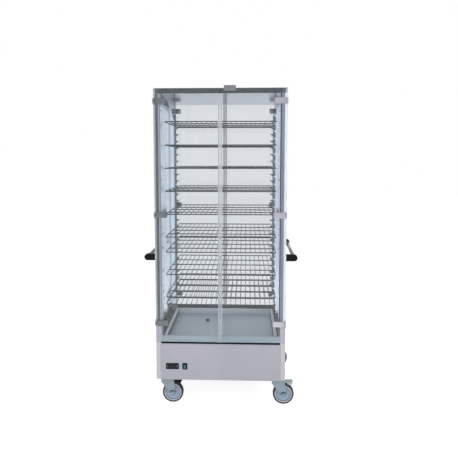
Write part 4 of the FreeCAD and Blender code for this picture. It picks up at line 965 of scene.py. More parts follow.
@dataclass
class Hinges(Assembly):
    """Hinges of the four doors: leaves on the side walls, clamps on the glass, finger pulls."""

    axis_x: float = 0.378
    axis_y: float = 0.325
    heights: tuple[float, ...] = (0.506, 1.147, 1.797)
    half: float = 0.017
    wall: float = 0.382
    leaf: float = 0.0025
    leaf_length: float = 0.042
    leaf_past: float = 0.0025
    leaf_screws: Span = (0.009, 0.024)
    knuckle: float = 0.005
    slot: float = 0.007
    moving: float = 0.0065
    cap_radius: float = 0.00375
    cap: float = 0.0015
    cap_edge: float = 0.001
    glass_back: float = 0.313
    glass_front: float = 0.319
    clamp: float = 0.003
    clamp_corner: float = 0.006
    plate_start: float = 0.308
    plate_end: float = 0.371
    back: float = 0.0025
    back_length: float = 0.030
    back_corner: float = 0.004
    back_screws: Span = (0.015, 0.009)
    pull_start: float = 0.022
    pull_width: float = 0.068
    pull_sheet: float = 0.002
    pull_lip: float = 0.009
    pull_heights: tuple[float, float, float] = (1.852, 1.880, 1.882)
    pull_corners: Span = (0.005, 0.003)

    def barrel(self, name: str, ends: Span, radius: float, sides: int = 24) -> Shaper:
        """Upright cylinder on the axis of a hinge at the rear right."""
        start, end = ((self.axis_x, self.axis_y, height) for height in ends)
        return Shaper.drum(name, radius, start, end, sides)

    def leaf_shape(self, screw: Shaper) -> Shaper:
        """Leaf with its two knuckles, the pin's head and two screws.

        Args:
            screw: modelled screw head.

        Returns:
            The shaped leaf at the rear right, around height 0.
        """
        front = self.axis_y + self.leaf_past
        start, back = front - self.leaf_length, self.axis_y - 2 * self.knuckle
        face, top = self.wall + self.leaf, self.half + self.cap
        leaf = Shaper.block("leaf_model", (self.wall, start, -self.half), (face, back, self.half))
        leaf.level(-self.slot, self.slot)
        leaf.push_faces(
            lambda at, way: way.y > ALIGNED and abs(at.z) > self.slot, 0, (0, front - back, 0)
        )
        parts = []
        for side in SIDES:
            barrel = self.barrel("knuckle", (side * self.slot, side * self.half), self.knuckle)
            parts.append(barrel.soften(Soft.FINE))
        cap = self.barrel("pin_cap", (self.half, top), self.cap_radius, sides=20)
        parts.append(cap.round_edges(where(z=top), self.cap_edge))
        for step in self.leaf_screws:
            parts.append(screw.stand("leaf_screw", (face, start + step, 0), (1, 0, 0)))
        return leaf.soften(Soft.PLAIN).join(parts)

    def clamp_shape(self, screw: Shaper) -> Shaper:
        """Clamp plate with its knuckle, and the plate behind the glass.

        Args:
            screw: modelled screw head.

        Returns:
            The shaped clamp at the rear right, around height 0.
        """
        start, end, half = self.plate_start, self.plate_end, self.half
        face, behind = self.glass_front + self.clamp, self.glass_back - self.back
        middle = (-self.moving, self.moving)
        clamp = Shaper.block("clamp_model", (start, self.glass_front, -half), (end, face, half))
        clamp.round_edges(where(Axis.Y, x=start), self.clamp_corner, segments=5).level(*middle)
        clamp.push_faces(where(Axis.X, x=end, z=0), 0, (self.axis_x - end, 0, 0))
        barrel = self.barrel("clamp_barrel", middle, self.knuckle)
        back = Shaper.slab(
            "clamp_back", (start, behind, -half), (start + self.back_length, self.glass_back, half),
            self.back_corner,
        )
        parts = [barrel.soften(Soft.SMALL), back.soften(Soft.FINE)]
        across, up = self.back_screws
        for side in SIDES:
            place = (start + across, behind, side * up)
            parts.append(screw.stand("clamp_screw", place, (0, -1, 0)))
        return clamp.soften(Soft.PLAIN).join(parts)

    def at_heights(self, model: Shaper) -> Shaper:
        """Put a modelled half of a hinge at each height of a door.

        Args:
            model: the shaped half, which ends here.

        Returns:
            The three halves as one.
        """
        places = [Matrix.Translation((0, 0, height)) for height in self.heights]
        halves = [model.copy("hinge_half", place) for place in places]
        remove(model)
        return halves[0].join(halves[1:]).smooth()

    def pull_shape(self) -> Shaper:
        """Finger pull with its bent lip.

        Returns:
            The shaped pull at the rear right.
        """
        low, bend, high = self.pull_heights
        start, end = self.pull_start, self.pull_start + self.pull_width
        face = self.glass_front + self.pull_sheet
        tip = face + self.pull_lip
        pull = Shaper.block("pull_plate", (start, self.glass_front, low), (end, face, high))
        lip = where(Axis.Y, y=face, z=(bend + high) / 2)
        pull.level(bend).push_faces(lip, 0, (0, self.pull_lip, 0))
        lower, outer = self.pull_corners
        pull.round_edges(where(Axis.Y, z=low), lower, segments=4)
        pull.round_edges(where(Axis.Z, y=tip), outer)
        return pull.soften(Soft.FINE)

    def build(self) -> None:
        """Model one set and copy it to the four doors."""
        screw = Screw().shape("screw_model")
        leaf_set = self.at_heights(self.leaf_shape(screw))
        clamp_set = self.at_heights(self.clamp_shape(screw))
        pull = self.pull_shape().smooth()
        sets = []
        for corner in CORNERS:
            matrix, door = to_corner(corner), f"{corner}_door"
            sets.append(leaf_set.copy(f"{corner}_leaves", matrix))
            clamp = clamp_set.copy(f"{corner}_hinge_clamps", matrix)
            if corner in ("front_right", "rear_left"):
                grip = pull.copy(f"{corner}_pull", matrix)
                self.dress(grip, "hinge_steel", PULL_STEEL, body=door)
            # The front left clamps get hinge steel painted dark as shade.
            finish = SHADED_HINGE if corner == "front_left" else HINGE_STEEL
            self.dress(clamp, "hinge_steel", finish, f"{corner}_door_clamps", body=door)
        leaves = join_all("hinge_leaf_set", sets)
        self.dress(leaves, "hinge_steel", HINGE_STEEL, "hinge_leaves")
        remove(leaf_set, clamp_set, pull, screw)


@dataclass
class Trims(Assembly):
    """Thin trims: strips along the corner flanges, and sill plates, lips and head bands; some
    strips paint light and shade.
    """

    face: float = 0.3100
    rise: float = 0.0012
    thin: float = 0.00084
    cover: float = 0.00285
    reach: float = 0.3520
    gap: float = 0.0003
    sill: Span = (0.3905, 0.4290)
    lip: Span = (0.3795, 0.3900)
    ledge: Span = (0.3748, 0.3793)
    trim: Span = (0.3425, 0.3490)
    band: Span = (0.3495, 0.3658)
    edge: Span = (0.3662, 0.3796)
    inside: Span = (0.4320, 1.8390)
    beside: Span = (0.5190, 1.8400)
    corner: Span = (0.3510, 0.3803)
    corner_face: float = 0.3083
    leg_start: float = 0.2480
    rounding: float = 0.0008
    leg_rounding: float = 0.0005
    strip_rounding: float = 0.6

    def strip(self, name: str, heights: Span, rise: float) -> Shaper:
        """Wide strip under or over the rear doors.

        Args:
            name: name of the piece.
            heights: its lower and upper edge.
            rise: its thickness.

        Returns:
            The shaped strip.
        """
        (low, high), end = heights, self.reach
        strip = Shaper.block(name, (-end, self.face, low), (end, self.face + rise, high))
        strip.round_edges(lambda at, way: at.y > self.face + NEAR, rise * self.strip_rounding)
        return strip.smooth()

    def upright(self, name: str, across: Span, heights: Span, rise: float) -> Shaper:
        """Upright strip on the flange at the rear right corner.

        Args:
            name: name of the piece.
            across: its inner and outer edge.
            heights: its foot and its head.
            rise: its thickness.

        Returns:
            The shaped strip.
        """
        (start, end), (low, high) = across, heights
        strip = Shaper.block(name, (start, self.face, low), (end, self.face + rise, high))
        return strip.round_edges(where(Axis.Z, y=self.face + rise), self.rounding).smooth()

    def corner_strip(self) -> Shaper:
        """Angled strip inside the rear right corner, which carries painted light.

        Returns:
            The shaped strip.
        """
        (start, end), (low, high) = self.corner, self.inside
        inner = self.corner_face - self.rise
        strip = Shaper.block("corner_model", (start, inner, low), (end, self.corner_face, high))
        leg = Shaper.block("corner_leg", (end - self.rise, self.leg_start, low), (end, inner, high))
        strip.round_edges(where(Axis.Z, y=inner), self.rounding)
        leg.round_edges(where(Axis.Z, y=self.leg_start), self.leg_rounding)
        return strip.join([leg]).smooth()

    def build(self) -> None:
        """Model one trim of each kind and copy it to its places."""
        head = (self.beside[1] + self.gap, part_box("door_gaskets")[1].z - self.gap)
        for word, heights, rise, slot, finish in (
            ("sill_plate", self.sill, self.rise, "inner_sheet", SILL_SHEET),
            ("lip", self.lip, self.thin, "black_rubber", BLACK),
            ("ledge", self.ledge, self.thin, "stainless_sheet", STAINLESS_FLAT),
            ("head_band", head, self.cover, "black_rubber", HEAD_BAND),
        ):
            rear = self.strip(f"rear_{word}", heights, rise)
            for piece in (rear, rear.copy(f"front_{word}", to_corner("front_right"))):
                self.dress(piece, slot, finish)
        trim = self.upright("trim_model", self.trim, self.inside, self.rise)
        band = self.upright("band_model", self.band, self.beside, self.cover)
        edge = self.upright("edge_model", self.edge, self.beside, self.cover)
        for model, word, slot, left, right in (
            # Trims: left copies painted pale as light, right copies dark as shade.
            (trim, "trim", "black_rubber", LIT_TRIM, SHADED_TRIM),
            # Corner strips glow as painted light.
            (self.corner_strip(), "corner_strip", "clear_seal", GLOWING_STRIP, GLOWING_STRIP),
            # Band and edge strips go on the right corners only: painted light and a painted
            # highlight.
            (band, "gasket_band", "black_rubber", None, LIT_BAND),
            (edge, "edge_strip", "clear_seal", None, EDGE),
        ):
            for corner in CORNERS:
                finish = left if corner.endswith("left") else right
                if finish is not None:
                    self.dress(model.copy(f"{corner}_{word}", to_corner(corner)), slot, finish)
            remove(model)


@dataclass
class TrayShading(Assembly):
    """Thin sheets on the drip tray's inner walls that paint light and shade: dark at the sides,
    pale at the back.
    """

    rim: float = 0.0160
    sheet: float = 0.0012
    thick: float = 0.0006
    clear: float = 0.0010
    rounding: float = 0.00024

    def build(self) -> None:
        """Model the two dark side sheets of painted shade and the pale back sheet of painted light.
        """
        low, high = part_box("drip_tray")
        foot, head = low.z + self.sheet, high.z - self.clear
        front, back = low.y + self.sheet, high.y - self.sheet
        reach = high.x - self.rim - self.sheet
        half = reach - self.thick
        for word, near, far in (("left", -reach, -half), ("right", half, reach)):
            low, high = (near, front, foot), (far, back, head)
            sheet = Shaper.slab(f"tray_{word}_lining", low, high, self.rounding, steps=2)
            self.dress(sheet.smooth(), "inner_sheet", TRAY_SIDE_SHADE)
        low, high = (-half, back - self.thick, foot), (half, back, head)
        sheet = Shaper.block("tray_back_lining", low, high)
        sheet.round_edges(where(Axis.X), self.rounding, segments=2)
        self.dress(sheet.smooth(), "inner_sheet", TRAY_BACK_LIGHT)


@dataclass
class Handles(Assembly):
    """Push handles: moulded brackets and bright tubes."""

    width: float = 0.026
    nose: float = 0.019
    nose_rounding: float = 0.018981
    edge: float = 0.003
    panel_rim: float = 0.004
    panel_sink: float = 0.0012
    tube: float = 0.011
    collar: float = 0.014
    collar_ends: Span = (-0.003, 0.001)
    overlap: float = 0.004

    def build(self) -> None:
        """Model a bracket, copy it to the four places, and model the tubes."""
        low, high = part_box("handle_brackets")
        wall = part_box("right_side_frame")[1].x
        inner, axis_x = high.y - self.width, high.x - self.nose
        middle = (low.z + high.z) / 2
        bracket = Shaper.block("bracket_model", (wall, inner, low.z), high)
        bracket.round_edges(where(Axis.Y, x=high.x), self.nose_rounding, segments=10)
        bracket.soften(self.edge, segments=4)
        bracket.push_faces(where(Axis.Y, y=high.y), self.panel_rim, (0, -self.panel_sink, 0))
        ends = tuple(inner + step for step in self.collar_ends)
        collar = Shaper.rod("bracket_collar", self.collar, (axis_x, middle), ends, sides=40)
        bracket.join([collar.soften(Soft.BROAD)]).smooth()
        brackets = [bracket.copy(f"bracket_{corner}", to_corner(corner)) for corner in CORNERS]
        whole = join_all("handle_bracket_set", brackets)
        self.dress(whole, "black_plastic", BLACK, "handle_brackets")
        reach = inner + self.overlap
        tubes = [
            Shaper.rod(f"tube_{side}", self.tube, (side * axis_x, middle), (-reach, reach))
            for side in SIDES
        ]
        pair = join_all("handle_tube_pair", tubes).soften(Soft.BROAD).smooth()
        self.dress(pair, "bright_tube", TUBE, "handle_tubes")
        remove(bracket)


@dataclass
class Controls(Assembly):
    """Panel thermostat and rocker switch in the base."""

    corner: float = 0.003
    case: float = 0.0035
    rear_in: float = 0.003
    window_gap: float = 0.004
    window_rim: float = 0.006
    window_ends: Span = (-0.0004, 0.001)
    small_corner: float = 0.0015
    mark: float = 0.0023
    mark_rise: float = 0.0038
    mark_ends: Span = (-0.0002, 0.00005)
    bezel: float = 0.0025
    bezel_rim: float = 0.0042
    bezel_sink: float = 0.0022
    switch_in: float = 0.0035
    tilt: float = 7.0
    pin_y: float = -0.309
    blade_half: Span = (0.01, 0.014)
    blade_ends: Span = (-0.009, 0.001)
    notch: float = 0.004
    taper: float = 0.003
    lens_half: Span = (0.0055, 0.0115)
    lens_ends: Span = (-0.0092, -0.0045)
    lens_notch: Span = (0.0038, 0.002)

    def rear(self, name: str, box: tuple[Vector, Vector], face: float, inset: float) -> Shaper:
        """Body of a control behind its front.

        Args:
            name: name of the piece.
            box: lowest and highest corner of the control.
            face: where the front ends.
            inset: how far its sides lie inside the front's.

        Returns:
            The shaped body.
        """
        low, high = box
        start = (low.x + inset, face, low.z + self.rear_in)
        end = (high.x - inset, high.y, high.z - self.rear_in)
        return Shaper.block(name, start, end).soften(Soft.BROAD)

    def thermostat(self) -> None:
        """Model the thermostat's front with its window, keys and key marks."""
        low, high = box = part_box("thermostat_case")
        face = low.y + self.case
        front = Shaper.slab("thermostat_front", low, (high.x, face, high.z), self.corner)
        rear = self.rear("thermostat_rear", box, face, self.rear_in)
        front.soften(Soft.FIRM, segments=3).join([rear])
        self.dress(front.smooth(), "black_plastic", BLACK, "thermostat_case")
        left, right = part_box("thermostat_key_left"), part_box("thermostat_key_right")
        start, end = (low.y + step for step in self.window_ends)
        window = Shaper.slab(
            "display_window", (left[1].x + self.window_gap, start, low.z + self.window_rim),
            (right[0].x - self.window_gap, end, high.z - self.window_rim), self.small_corner,
            steps=3,
        )
        self.dress(window.soften(Soft.TINY).smooth(), "black_plastic", GLOSS_BLACK)
        for word, (first, last) in (("left", left), ("right", right)):
            body = f"key_{word}"
            key = Shaper.slab(body, first, last, self.small_corner).soften(Soft.SMALL)
            self.dress(key.smooth(), "key_plastic", KEY, f"thermostat_key_{word}", body=body)
            middle = (first + last) / 2
            ends = tuple(first.y + step for step in self.mark_ends)
            marks = []
            for index, side in enumerate(SIDES):
                place = (middle.x, middle.z + side * self.mark_rise)
                name = f"key_mark_{word}_{index}"
                spot = Shaper.rod(name, self.mark, place, ends, sides=3 + index)
                marks.append(spot.soften(Soft.HAIR, segments=1))
            self.dress(marks[0].join(marks[1:]), "key_plastic", MARK, body=body)

    def blade(self, name: str, pin: Vector, half: Span, ends: Span) -> Shaper:
        """Block around the rocker's pin, cut at the pin's height."""
        low, high = (pin + Vector((s * half[0], y, s * half[1])) for s, y in zip(SIDES, ends))
        return Shaper.block(name, low, high).level(pin.z)

    def switch(self) -> None:
        """Model the switch's bezel and its rocker, resting on one side."""
        low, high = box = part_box("switch_bezel")
        face = low.y + self.bezel
        bezel = Shaper.slab("switch_front", low, (high.x, face, high.z), self.corner)
        bezel.push_faces(where(Axis.Y, y=low.y), self.bezel_rim, (0, self.bezel_sink, 0))
        bezel.soften(Soft.PLAIN).join([self.rear("switch_rear", box, face, self.switch_in)])
        self.dress(bezel.smooth(), "black_plastic", GREEN_RIM, "switch_bezel")
        pin = (low + high) / 2
        pin.y = self.pin_y
        rocker = self.blade("rocker_blade", pin, self.blade_half, self.blade_ends)
        front, back = (pin.y + end for end in self.blade_ends)
        rocker.move_points(where(y=front, z=pin.z), (0, self.notch, 0))
        for side in SIDES:
            edge = where(y=back, z=pin.z + side * self.blade_half[1])
            rocker.move_points(edge, (0, 0, -side * self.taper))
        lens = self.blade("rocker_lens", pin, self.lens_half, self.lens_ends)
        for end, notch in zip(self.lens_ends, self.lens_notch):
            lens.move_points(where(y=pin.y + end, z=pin.z), (0, notch, 0))
        for piece in (rocker.soften(Soft.FULL, segments=3), lens.soften(Soft.PLAIN)):
            piece.turn(self.tilt, Axis.X, pin).smooth()
        self.dress(rocker, "green_rocker", GREEN, "switch_rocker", body="rocker")
        self.dress(lens, "green_rocker", GREEN_LENS, body="rocker")

    def build(self) -> None:
        """Model both controls."""
        self.thermostat()
        self.switch()


@dataclass
class Inlet(Assembly):
    """Mains inlet with its domed flap on the right side wall."""

    flange: float = 0.004
    flange_edge: float = 0.002
    dome: float = 0.026
    dome_sink: float = 0.0005
    ear: float = 0.0035
    ear_half: float = 0.011
    ear_place: Span = (0.002, 0.0245)
    barrel: float = 0.02
    screws: Span = (0.0255, -0.007)

    def build(self) -> None:
        """Model the flange, the dome, the flap's ear, the barrel and two screws."""
        low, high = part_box("power_inlet")
        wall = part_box("right_side_frame")[1].x
        y, z = (low.y + high.y) / 2, (low.z + high.z) / 2
        seat, radius = wall + self.flange, (high.z - low.z) / 2
        plate = Shaper.drum("inlet_flange", radius, (wall, y, z), (seat, y, z), sides=64)
        plate.round_edges(where(x=seat), self.flange_edge)
        bulge = ((high.x - seat) / self.dome, 1, 1)
        cap = Shaper.ball("inlet_dome", self.dome, (seat, y, z), bulge)
        cap.slice((seat - self.dome_sink, y, z), (-1, 0, 0), drop=True)
        place = (seat + self.ear_place[0], z + self.ear_place[1])
        ends = (y - self.ear_half, y + self.ear_half)
        ear = Shaper.rod("inlet_ear", self.ear, place, ends, sides=20).soften(Soft.PLAIN)
        barrel = Shaper.drum("inlet_barrel", self.barrel, (low.x, y, z), (wall, y, z), sides=40)
        screw = Screw().shape("inlet_screw_model")
        across, up = self.screws
        heads = [
            screw.stand(f"inlet_screw_{side}", (seat, y + side * across, z + up), (1, 0, 0))
            for side in SIDES
        ]
        plate.join([cap, ear, barrel.soften(Soft.BROAD), *heads]).smooth()
        self.dress(plate, "black_plastic", INLET, "power_inlet")
        remove(screw)


@dataclass
class FrameScrews(Assembly):
    """Screws of the uprights and bolts of the handles."""

    screw: Span = (0.0045, 0.0025)
    screw_place: Span = (0.340, 0.2945)
    heights: Span = (0.560, 1.745)
    count: int = 4
    bolt: Span = (0.005, 0.004)
    bolt_place: Span = (0.3805, 0.27)
    bolt_step: float = 0.01

    def build(self) -> None:
        """Model a head of each kind and copy it to every place."""
        low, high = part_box("handle_brackets")
        middle, (foot, top) = (low.z + high.z) / 2, self.heights
        screw = Screw(*self.screw).shape("upright_screw_model")
        bolt = Screw(*self.bolt).shape("handle_bolt_model")
        levels = [foot + (top - foot) * step / (self.count - 1) for step in range(self.count)]
        bolts = [middle + side * self.bolt_step for side in SIDES]
        rows = ((screw, self.screw_place, levels), (bolt, self.bolt_place, bolts))
        heads = []
        for corner in CORNERS:
            side, end = signs(corner)
            for model, (x, y), rises in rows:
                for rise in rises:
                    place = (side * x, end * y, rise)
                    heads.append(model.stand(f"{corner}_head", place, (-side, 0, 0)))
        whole = join_all("frame_screw_heads", heads).smooth()
        self.dress(whole, "zinc_steel", SCREW_STEEL, "frame_screws")
        remove(screw, bolt)


@dataclass
class Casters(Assembly):
    """Swivel casters: forks, wheels and brake pedals."""

    sides: int = 72
    tread: float = 0.016
    tread_edge: float = 0.0055
    rim: float = 0.0525
    rim_half: float = 0.0145
    ring: float = 0.0455
    ring_half: float = 0.0128
    hub_edge: float = 0.0425
    hub_half: float = 0.0118
    hub_steps: tuple[Span, ...] = ((0.003, -0.003), (0.022, -0.001))
    boss_rims: Span = (0.0055, 0.006)
    boss_past: float = 0.004
    wheel_smooth: float = 40.0
    sharp: float = 50.0
    trail: float = 0.043
    leg_in: float = 0.019
    leg_out: float = 0.022
    crown_low: float = 0.1447
    crown_top: float = 0.1487
    crown_corner: float = 0.006
    leg_top: float = 0.1477
    shoulder: float = 0.1307
    back: float = 0.027
    ahead: float = 0.052
    disc: float = 0.027
    tip: float = 0.017
    axle: float = 0.005
    washer: Span = (0.0105, 0.0012)
    nut: Span = (0.0085, 0.005)
    pin: float = 0.003
    pin_x: float = 0.045
    pin_drop: float = 0.0115
    pedal_barrel: float = 0.0055
    pedal_half: float = 0.0025
    pedal_corner: float = 0.008
    skirt: Span = (0.017, 0.0186)
    skirt_in: Span = (0.02, 0.005)
    skirt_corner: float = 0.006
    ribs: int = 5
    rib_first: float = 0.008
    rib_step: float = 0.0055
    rib_half: float = 0.001
    rib_in: float = 0.005
    rib_heights: Span = (0.002, 0.0042)

    def blank(self, name: str, radius: float, half: float) -> Shaper:
        """Disc around the origin, turned about Y."""
        return Shaper.rod(name, radius, (0, 0), (-half, half), self.sides)

    def tyre(self, radius: float) -> Shaper:
        """Tyre, and a dark ring that paints the shade of the groove around the hub, around the
        origin.

        Args:
            radius: outer radius.

        Returns:
            The shaped tyre.
        """
        tyre = self.blank("tyre_model", radius, self.tread)
        tyre.round_edges(lambda at, way: abs(at.y) > self.tread - NEAR, self.tread_edge, segments=5)
        tyre.bridge(radius - self.tread_edge - self.rim)
        # Dark ring as painted shade of the groove around the hub.
        ring = self.blank("dust_ring", self.ring, self.ring_half)
        return tyre.join([ring.bridge(self.ring - self.hub_edge)]).smooth(self.wheel_smooth)

    def rim_ring(self) -> Shaper:
        """Pale outer ring of the hub, around the origin."""
        ring = self.blank("rim_model", self.rim, self.rim_half).bridge(self.rim - self.ring)
        return ring.soften(Soft.FIRM, angle=self.sharp).smooth(self.wheel_smooth)

    def hub(self, half: float) -> Shaper:
        """Dished hub with its boss, around the origin.

        Args:
            half: half length of the boss.

        Returns:
            The shaped hub.
        """
        hub = self.blank("hub_model", self.hub_edge, self.hub_half)
        rises = (half - self.hub_half + self.boss_past, 0)
        for side in SIDES:
            for inset, rise in (*self.hub_steps, *zip(self.boss_rims, rises)):
                hub.push_faces(
                    lambda at, way: way.y * side > ALIGNED and math.hypot(at.x, at.z) < NEAR,
                    inset, (0, side * rise, 0),
                )
        return hub.soften(Soft.FULL, angle=self.sharp).smooth(self.wheel_smooth)

    def leg(self, side: int, radius: float, braked: bool) -> list[Shaper]:
        """One leg of a fork with its end of the axle.

        Args:
            side: -1 or 1, as its place in Y.
            radius: wheel radius, which is the axle's height.
            braked: whether it holds a pedal's pin.

        Returns:
            The shaped parts.
        """
        axle, face = (self.trail, radius), side * self.leg_out
        seat, end = (side * (self.leg_out + rise) for rise in (self.washer[1], self.nut[1]))
        low, high = ends = sorted((side * self.leg_in, face))
        foot, top = (-self.back, low, radius), (self.ahead, high, self.leg_top)
        leg = Shaper.block(f"fork_leg_{side}", foot, top).level(self.shoulder)
        for x, to in ((-self.back, self.trail - self.tip), (self.ahead, self.trail + self.tip)):
            leg.move_points(where(x=x, z=radius), (to - x, 0, 0))
        tip = Shaper.rod(f"fork_tip_{side}", self.tip, axle, ends)
        washer = Shaper.rod(f"axle_washer_{side}", self.washer[0], axle, (face, seat), sides=32)
        nut = Shaper.rod(f"axle_nut_{side}", self.nut[0], axle, (seat, end), sides=6)
        parts = [leg.soften(Soft.FIRM), tip.soften(Soft.FIRM)]
        parts += [washer.soften(Soft.TINY), nut.soften(Soft.PLAIN)]
        if braked:
            place = (self.pin_x, self.crown_top - self.pin_drop)
            ends = (side * self.leg_in, face)
            parts.append(Shaper.rod(f"pedal_pin_{side}", self.pin, place, ends, sides=20))
        return parts

    def fork(self, radius: float, braked: bool) -> Shaper:
        """Fork around the swivel axis, with its axle bolt.

        Args:
            radius: wheel radius, which is the axle's height.
            braked: whether it holds a pedal's pin.

        Returns:
            The shaped fork.
        """
        low, high, half = self.crown_low, self.crown_top, self.leg_out
        crown = Shaper.block("fork_model", (-self.back, -half, low), (self.ahead, half, high))
        crown.round_edges(where(Axis.Z), self.crown_corner, segments=4).soften(Soft.FIRM)
        disc = Shaper.drum("fork_disc", self.disc, (0, 0, low), (0, 0, high)).soften(Soft.FIRM)
        axle = Shaper.rod("fork_axle", self.axle, (self.trail, radius), (-half, half), sides=24)
        legs = [part for side in SIDES for part in self.leg(side, radius, braked)]
        return crown.join([disc, axle.soften(Soft.TINY), *legs]).smooth()

    def pedal(self, low: Vector, high: Vector) -> Shaper:
        """Brake pedal with its barrel, skirts and gripping ribs.

        Args:
            low: lowest corner of its node.
            high: highest corner of its node.

        Returns:
            The shaped pedal.
        """
        x, z = low.x + self.pedal_barrel, high.z - self.pedal_barrel
        middle, half = (low.y + high.y) / 2, self.pedal_half
        plate = Shaper.block("pedal_model", (x, low.y, z - half), (high.x, high.y, z + half))
        plate.round_edges(where(Axis.Z, x=high.x), self.pedal_corner, segments=5)
        barrel = Shaper.rod("pedal_barrel", self.pedal_barrel, (x, z), (low.y, high.y), sides=28)
        parts = [barrel.soften(Soft.PLAIN)]
        start, end = x + self.skirt_in[0], high.x - self.skirt_in[1]
        for side in SIDES:
            inner, outer = sorted(middle + side * step for step in self.skirt)
            skirt = Shaper.block(f"pedal_skirt_{side}", (start, inner, low.z), (end, outer, z))
            skirt.round_edges(where(Axis.Y, z=low.z), self.skirt_corner, segments=5)
            parts.append(skirt.soften(Soft.SMALL))
        foot, top = (z + rise for rise in self.rib_heights)
        for index in range(self.ribs):
            at = high.x - self.rib_first - self.rib_step * index
            rib = Shaper.block(
                f"pedal_rib_{index}", (at - self.rib_half, low.y + self.rib_in, foot),
                (at + self.rib_half, high.y - self.rib_in, top),
            )
            parts.append(rib.soften(Soft.FINE))
        return plate.soften(Soft.HEAVY, segments=3).join(parts).smooth()

    def build(self) -> None:
        """Model each kind once and copy it to its corners."""
        low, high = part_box("front_left_caster_wheel")
        radius, half = (high.z - low.z) / 2, (high.y - low.y) / 2
        tyre, ring, hub = self.tyre(radius), self.rim_ring(), self.hub(half)
        forks = {braked: self.fork(radius, braked) for braked in (True, False)}
        pedal_low, pedal_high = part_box("front_left_brake_pedal")
        pedal = self.pedal(pedal_low, pedal_high)
        for corner in CORNERS:
            node, wheel = f"{corner}_caster_wheel", f"{corner}_wheel"
            low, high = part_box(node)
            centre = (low + high) / 2
            spin = Matrix.Translation(centre)
            self.dress(tyre.copy(f"{corner}_tyre", spin), "wheel_rubber", TYRE, node, body=wheel)
            self.dress(ring.copy(f"{corner}_rim", spin), "wheel_rubber", HUB_RIM, body=wheel)
            self.dress(hub.copy(f"{corner}_hub", spin), "wheel_rubber", HUB, body=wheel)
            place = Matrix.Translation((centre.x - self.trail, centre.y, 0))
            braked = corner.startswith("front")
            fork = forks[braked].copy(f"{corner}_fork_shell", place)
            body = f"{corner}_fork"
            self.dress(fork, "zinc_steel", ZINC, f"{corner}_caster_fork", body=body)
            if braked:
                node, body = f"{corner}_brake_pedal", f"{corner}_pedal"
                place = Matrix.Translation(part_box(node)[0] - pedal_low)
                shell = pedal.copy(f"{corner}_pedal_shell", place)
                # Front left pedal painted black as shade, front right painted pale as light.
                finish = BLACK if corner == "front_left" else LIT_PEDAL
                self.dress(shell, "pedal_plastic", finish, node, body=body)
        remove(tyre, ring, hub, pedal, *forks.values())


@dataclass
class Cabinet(Assembly):
    """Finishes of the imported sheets, shelves, rubbers and fittings."""

    def build(self, nodes: dict[str, bpy.types.Object]) -> None:
        """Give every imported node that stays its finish.

        Args:
            nodes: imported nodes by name.
        """
        finishes = {
            FRAME_SHEET: ("left_side_frame", "right_side_frame"),
            STAINLESS: ("roof_cover",),
            STAINLESS_FLAT: ("base_front_panel", "base_rear_panel"),
            INNER_SHEET: ("base_chassis", "floor_pan"),
            TRAY_SHEET: ("drip_tray",),
            POLISHED: ("ceiling_liner",),
            UPRIGHT_LIT_AND_SHADED: ("shelf_uprights",),
            WIRE: SHELVES,
            SIDE_GLASS: ("side_panes",),
            GLOWING_RUBBER: ("pane_seals",),
            GASKET: ("door_gaskets",),
            SEAL: tuple(f"{corner}_door_seal" for corner in CORNERS),
            HEATER: ("heating_element",),
            BLACK: ("terminal_block", "temperature_probe"),
            ZINC: ("caster_plates", "caster_bolts"),
        }
        for finish, names in finishes.items():
            for name in names:
                self.paints.coat(nodes[name], finish)
                LOG.info("node %s has the finish %s", name, finish.name)


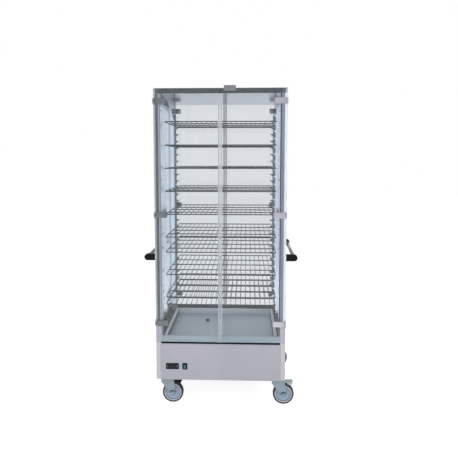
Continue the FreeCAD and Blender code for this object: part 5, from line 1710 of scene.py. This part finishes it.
@dataclass
class Studio:
    """Floor, light and camera."""

    eye: tuple[float, float, float] = (0.1539, -3.0858, 1.4788)
    yaw: float = 0.03712
    pitch: float = 0.08574
    focal_px: float = 484.6
    frame_px: float = 458.0
    raise_px: float = 30.0
    sensor: float = 36.0
    nearest: float = 0.05
    fill: float = 0.48
    fill_colour: Colour = (0.97, 0.985, 1)
    floor_size: float = 30.0
    floor_colour: Colour = (0.45, 0.45, 0.45)
    glow: float = 0.76
    lift: float = 0.07

    def camera(self) -> None:
        """Camera at the photograph's place."""
        lens = bpy.data.cameras.new("studio_camera")
        lens.sensor_width = self.sensor
        lens.lens = self.focal_px * self.sensor / self.frame_px
        lens.shift_y = -self.raise_px / self.frame_px
        lens.clip_start = self.nearest
        camera = bpy.data.objects.new("studio_camera", lens)
        camera.location = self.eye
        camera.rotation_euler = (math.pi / 2 - self.pitch, 0, self.yaw)
        bpy.context.scene.collection.objects.link(camera)
        bpy.context.scene.camera = camera

    @staticmethod
    def shown_rays(nodes: Nodes) -> Socket:
        """Mask of the rays that show the background: direct, mirrored or through glass.

        Args:
            nodes: nodes of the world or of a material.

        Returns:
            The mask's socket.
        """
        path = nodes.add("LightPath").outputs
        mirrored = nodes.math("MAXIMUM", path["Is Glossy Ray"], path["Is Transmission Ray"])
        return nodes.math("MAXIMUM", path["Is Camera Ray"], mirrored)

    def world(self) -> None:
        """White surroundings, softer as light than as background."""
        world = bpy.data.worlds.new("studio")
        bpy.context.scene.world = world
        world.use_nodes = True
        nodes = Nodes(world.node_tree)
        light = world.node_tree.nodes["Background"]
        nodes.feed(light, {"Color": (*self.fill_colour, 1), "Strength": self.fill})
        white = nodes.add("Background", {"Color": (1, 1, 1, 1)})
        nodes.show("World Output", self.shown_rays(nodes), light.outputs[0], white.outputs[0])

    def floor(self) -> None:
        """White floor, a little lighter where the camera sees it with no glass between."""
        Shaper.clear()
        bpy.ops.mesh.primitive_plane_add(size=self.floor_size, location=(0, 0, 0))
        floor = bpy.context.object
        floor.name = "studio_floor"
        material = bpy.data.materials.new("studio floor")
        material.use_nodes = True
        nodes, shader = Nodes(material.node_tree), material.node_tree.nodes["Principled BSDF"]
        matt = {"Base Color": (*self.floor_colour, 1), "Roughness": 0.9, "Specular IOR Level": 0.1}
        nodes.feed(shader, matt)
        path = nodes.add("LightPath").outputs
        bare = nodes.math("LESS_THAN", path["Transparent Depth"], 0.5)
        direct = nodes.math("MULTIPLY", path["Is Camera Ray"], bare)
        strength = nodes.math("MULTIPLY_ADD", direct, self.lift, self.glow)
        glow = nodes.add("Emission", {"Strength": strength})
        lit = nodes.add("AddShader", {0: shader.outputs[0], 1: glow.outputs[0]})
        shown = self.shown_rays(nodes)
        nodes.show("Material Output", shown, shader.outputs[0], lit.outputs[0])
        floor.data.materials.append(material)

    def lamp(self, name: str, place: Place, aim: Place, size: float, power: float) -> None:
        """Soft square lamp.

        Args:
            name: name of the lamp.
            place: where it stands.
            aim: point that it faces.
            size: side of its square.
            power: power in watts.
        """
        light = bpy.data.lights.new(name, "AREA")
        light.size = size
        light.energy = power
        lamp = bpy.data.objects.new(name, light)
        lamp.location = place
        lamp.rotation_euler = (Vector(aim) - Vector(place)).to_track_quat("-Z", "Y").to_euler()
        lamp.visible_camera = lamp.visible_glossy = lamp.visible_transmission = False
        bpy.context.scene.collection.objects.link(lamp)

    def build(self) -> None:
        """Set up the whole studio."""
        bpy.context.scene.view_settings.view_transform = "Standard"
        self.world()
        self.floor()
        self.lamp("key", (-2.4, -2.4, 2.4), (0, 0, 1.0), size=1.8, power=30)
        self.lamp("side", (2.6, -2.2, 2.2), (0, 0, 1.0), size=1.8, power=30)
        self.lamp("front", (0.15, -3.6, 1.7), (0, 0, 1.1), size=1.0, power=60)
        self.lamp("back", (0.4, 2.8, 2.6), (0, 0, 1.2), size=2.2, power=15)
        self.camera()


def main() -> None:
    logging.basicConfig(level=logging.INFO, format="%(message)s")
    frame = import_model()
    paints = Paints()
    Cabinet(paints).build(frame["nodes"])
    for kind in (Doors, Hinges, Trims, TrayShading, Handles, Controls, Inlet, FrameScrews, Casters):
        kind(paints).build()
    Studio().build()


if __name__ == "__main__":
    main()
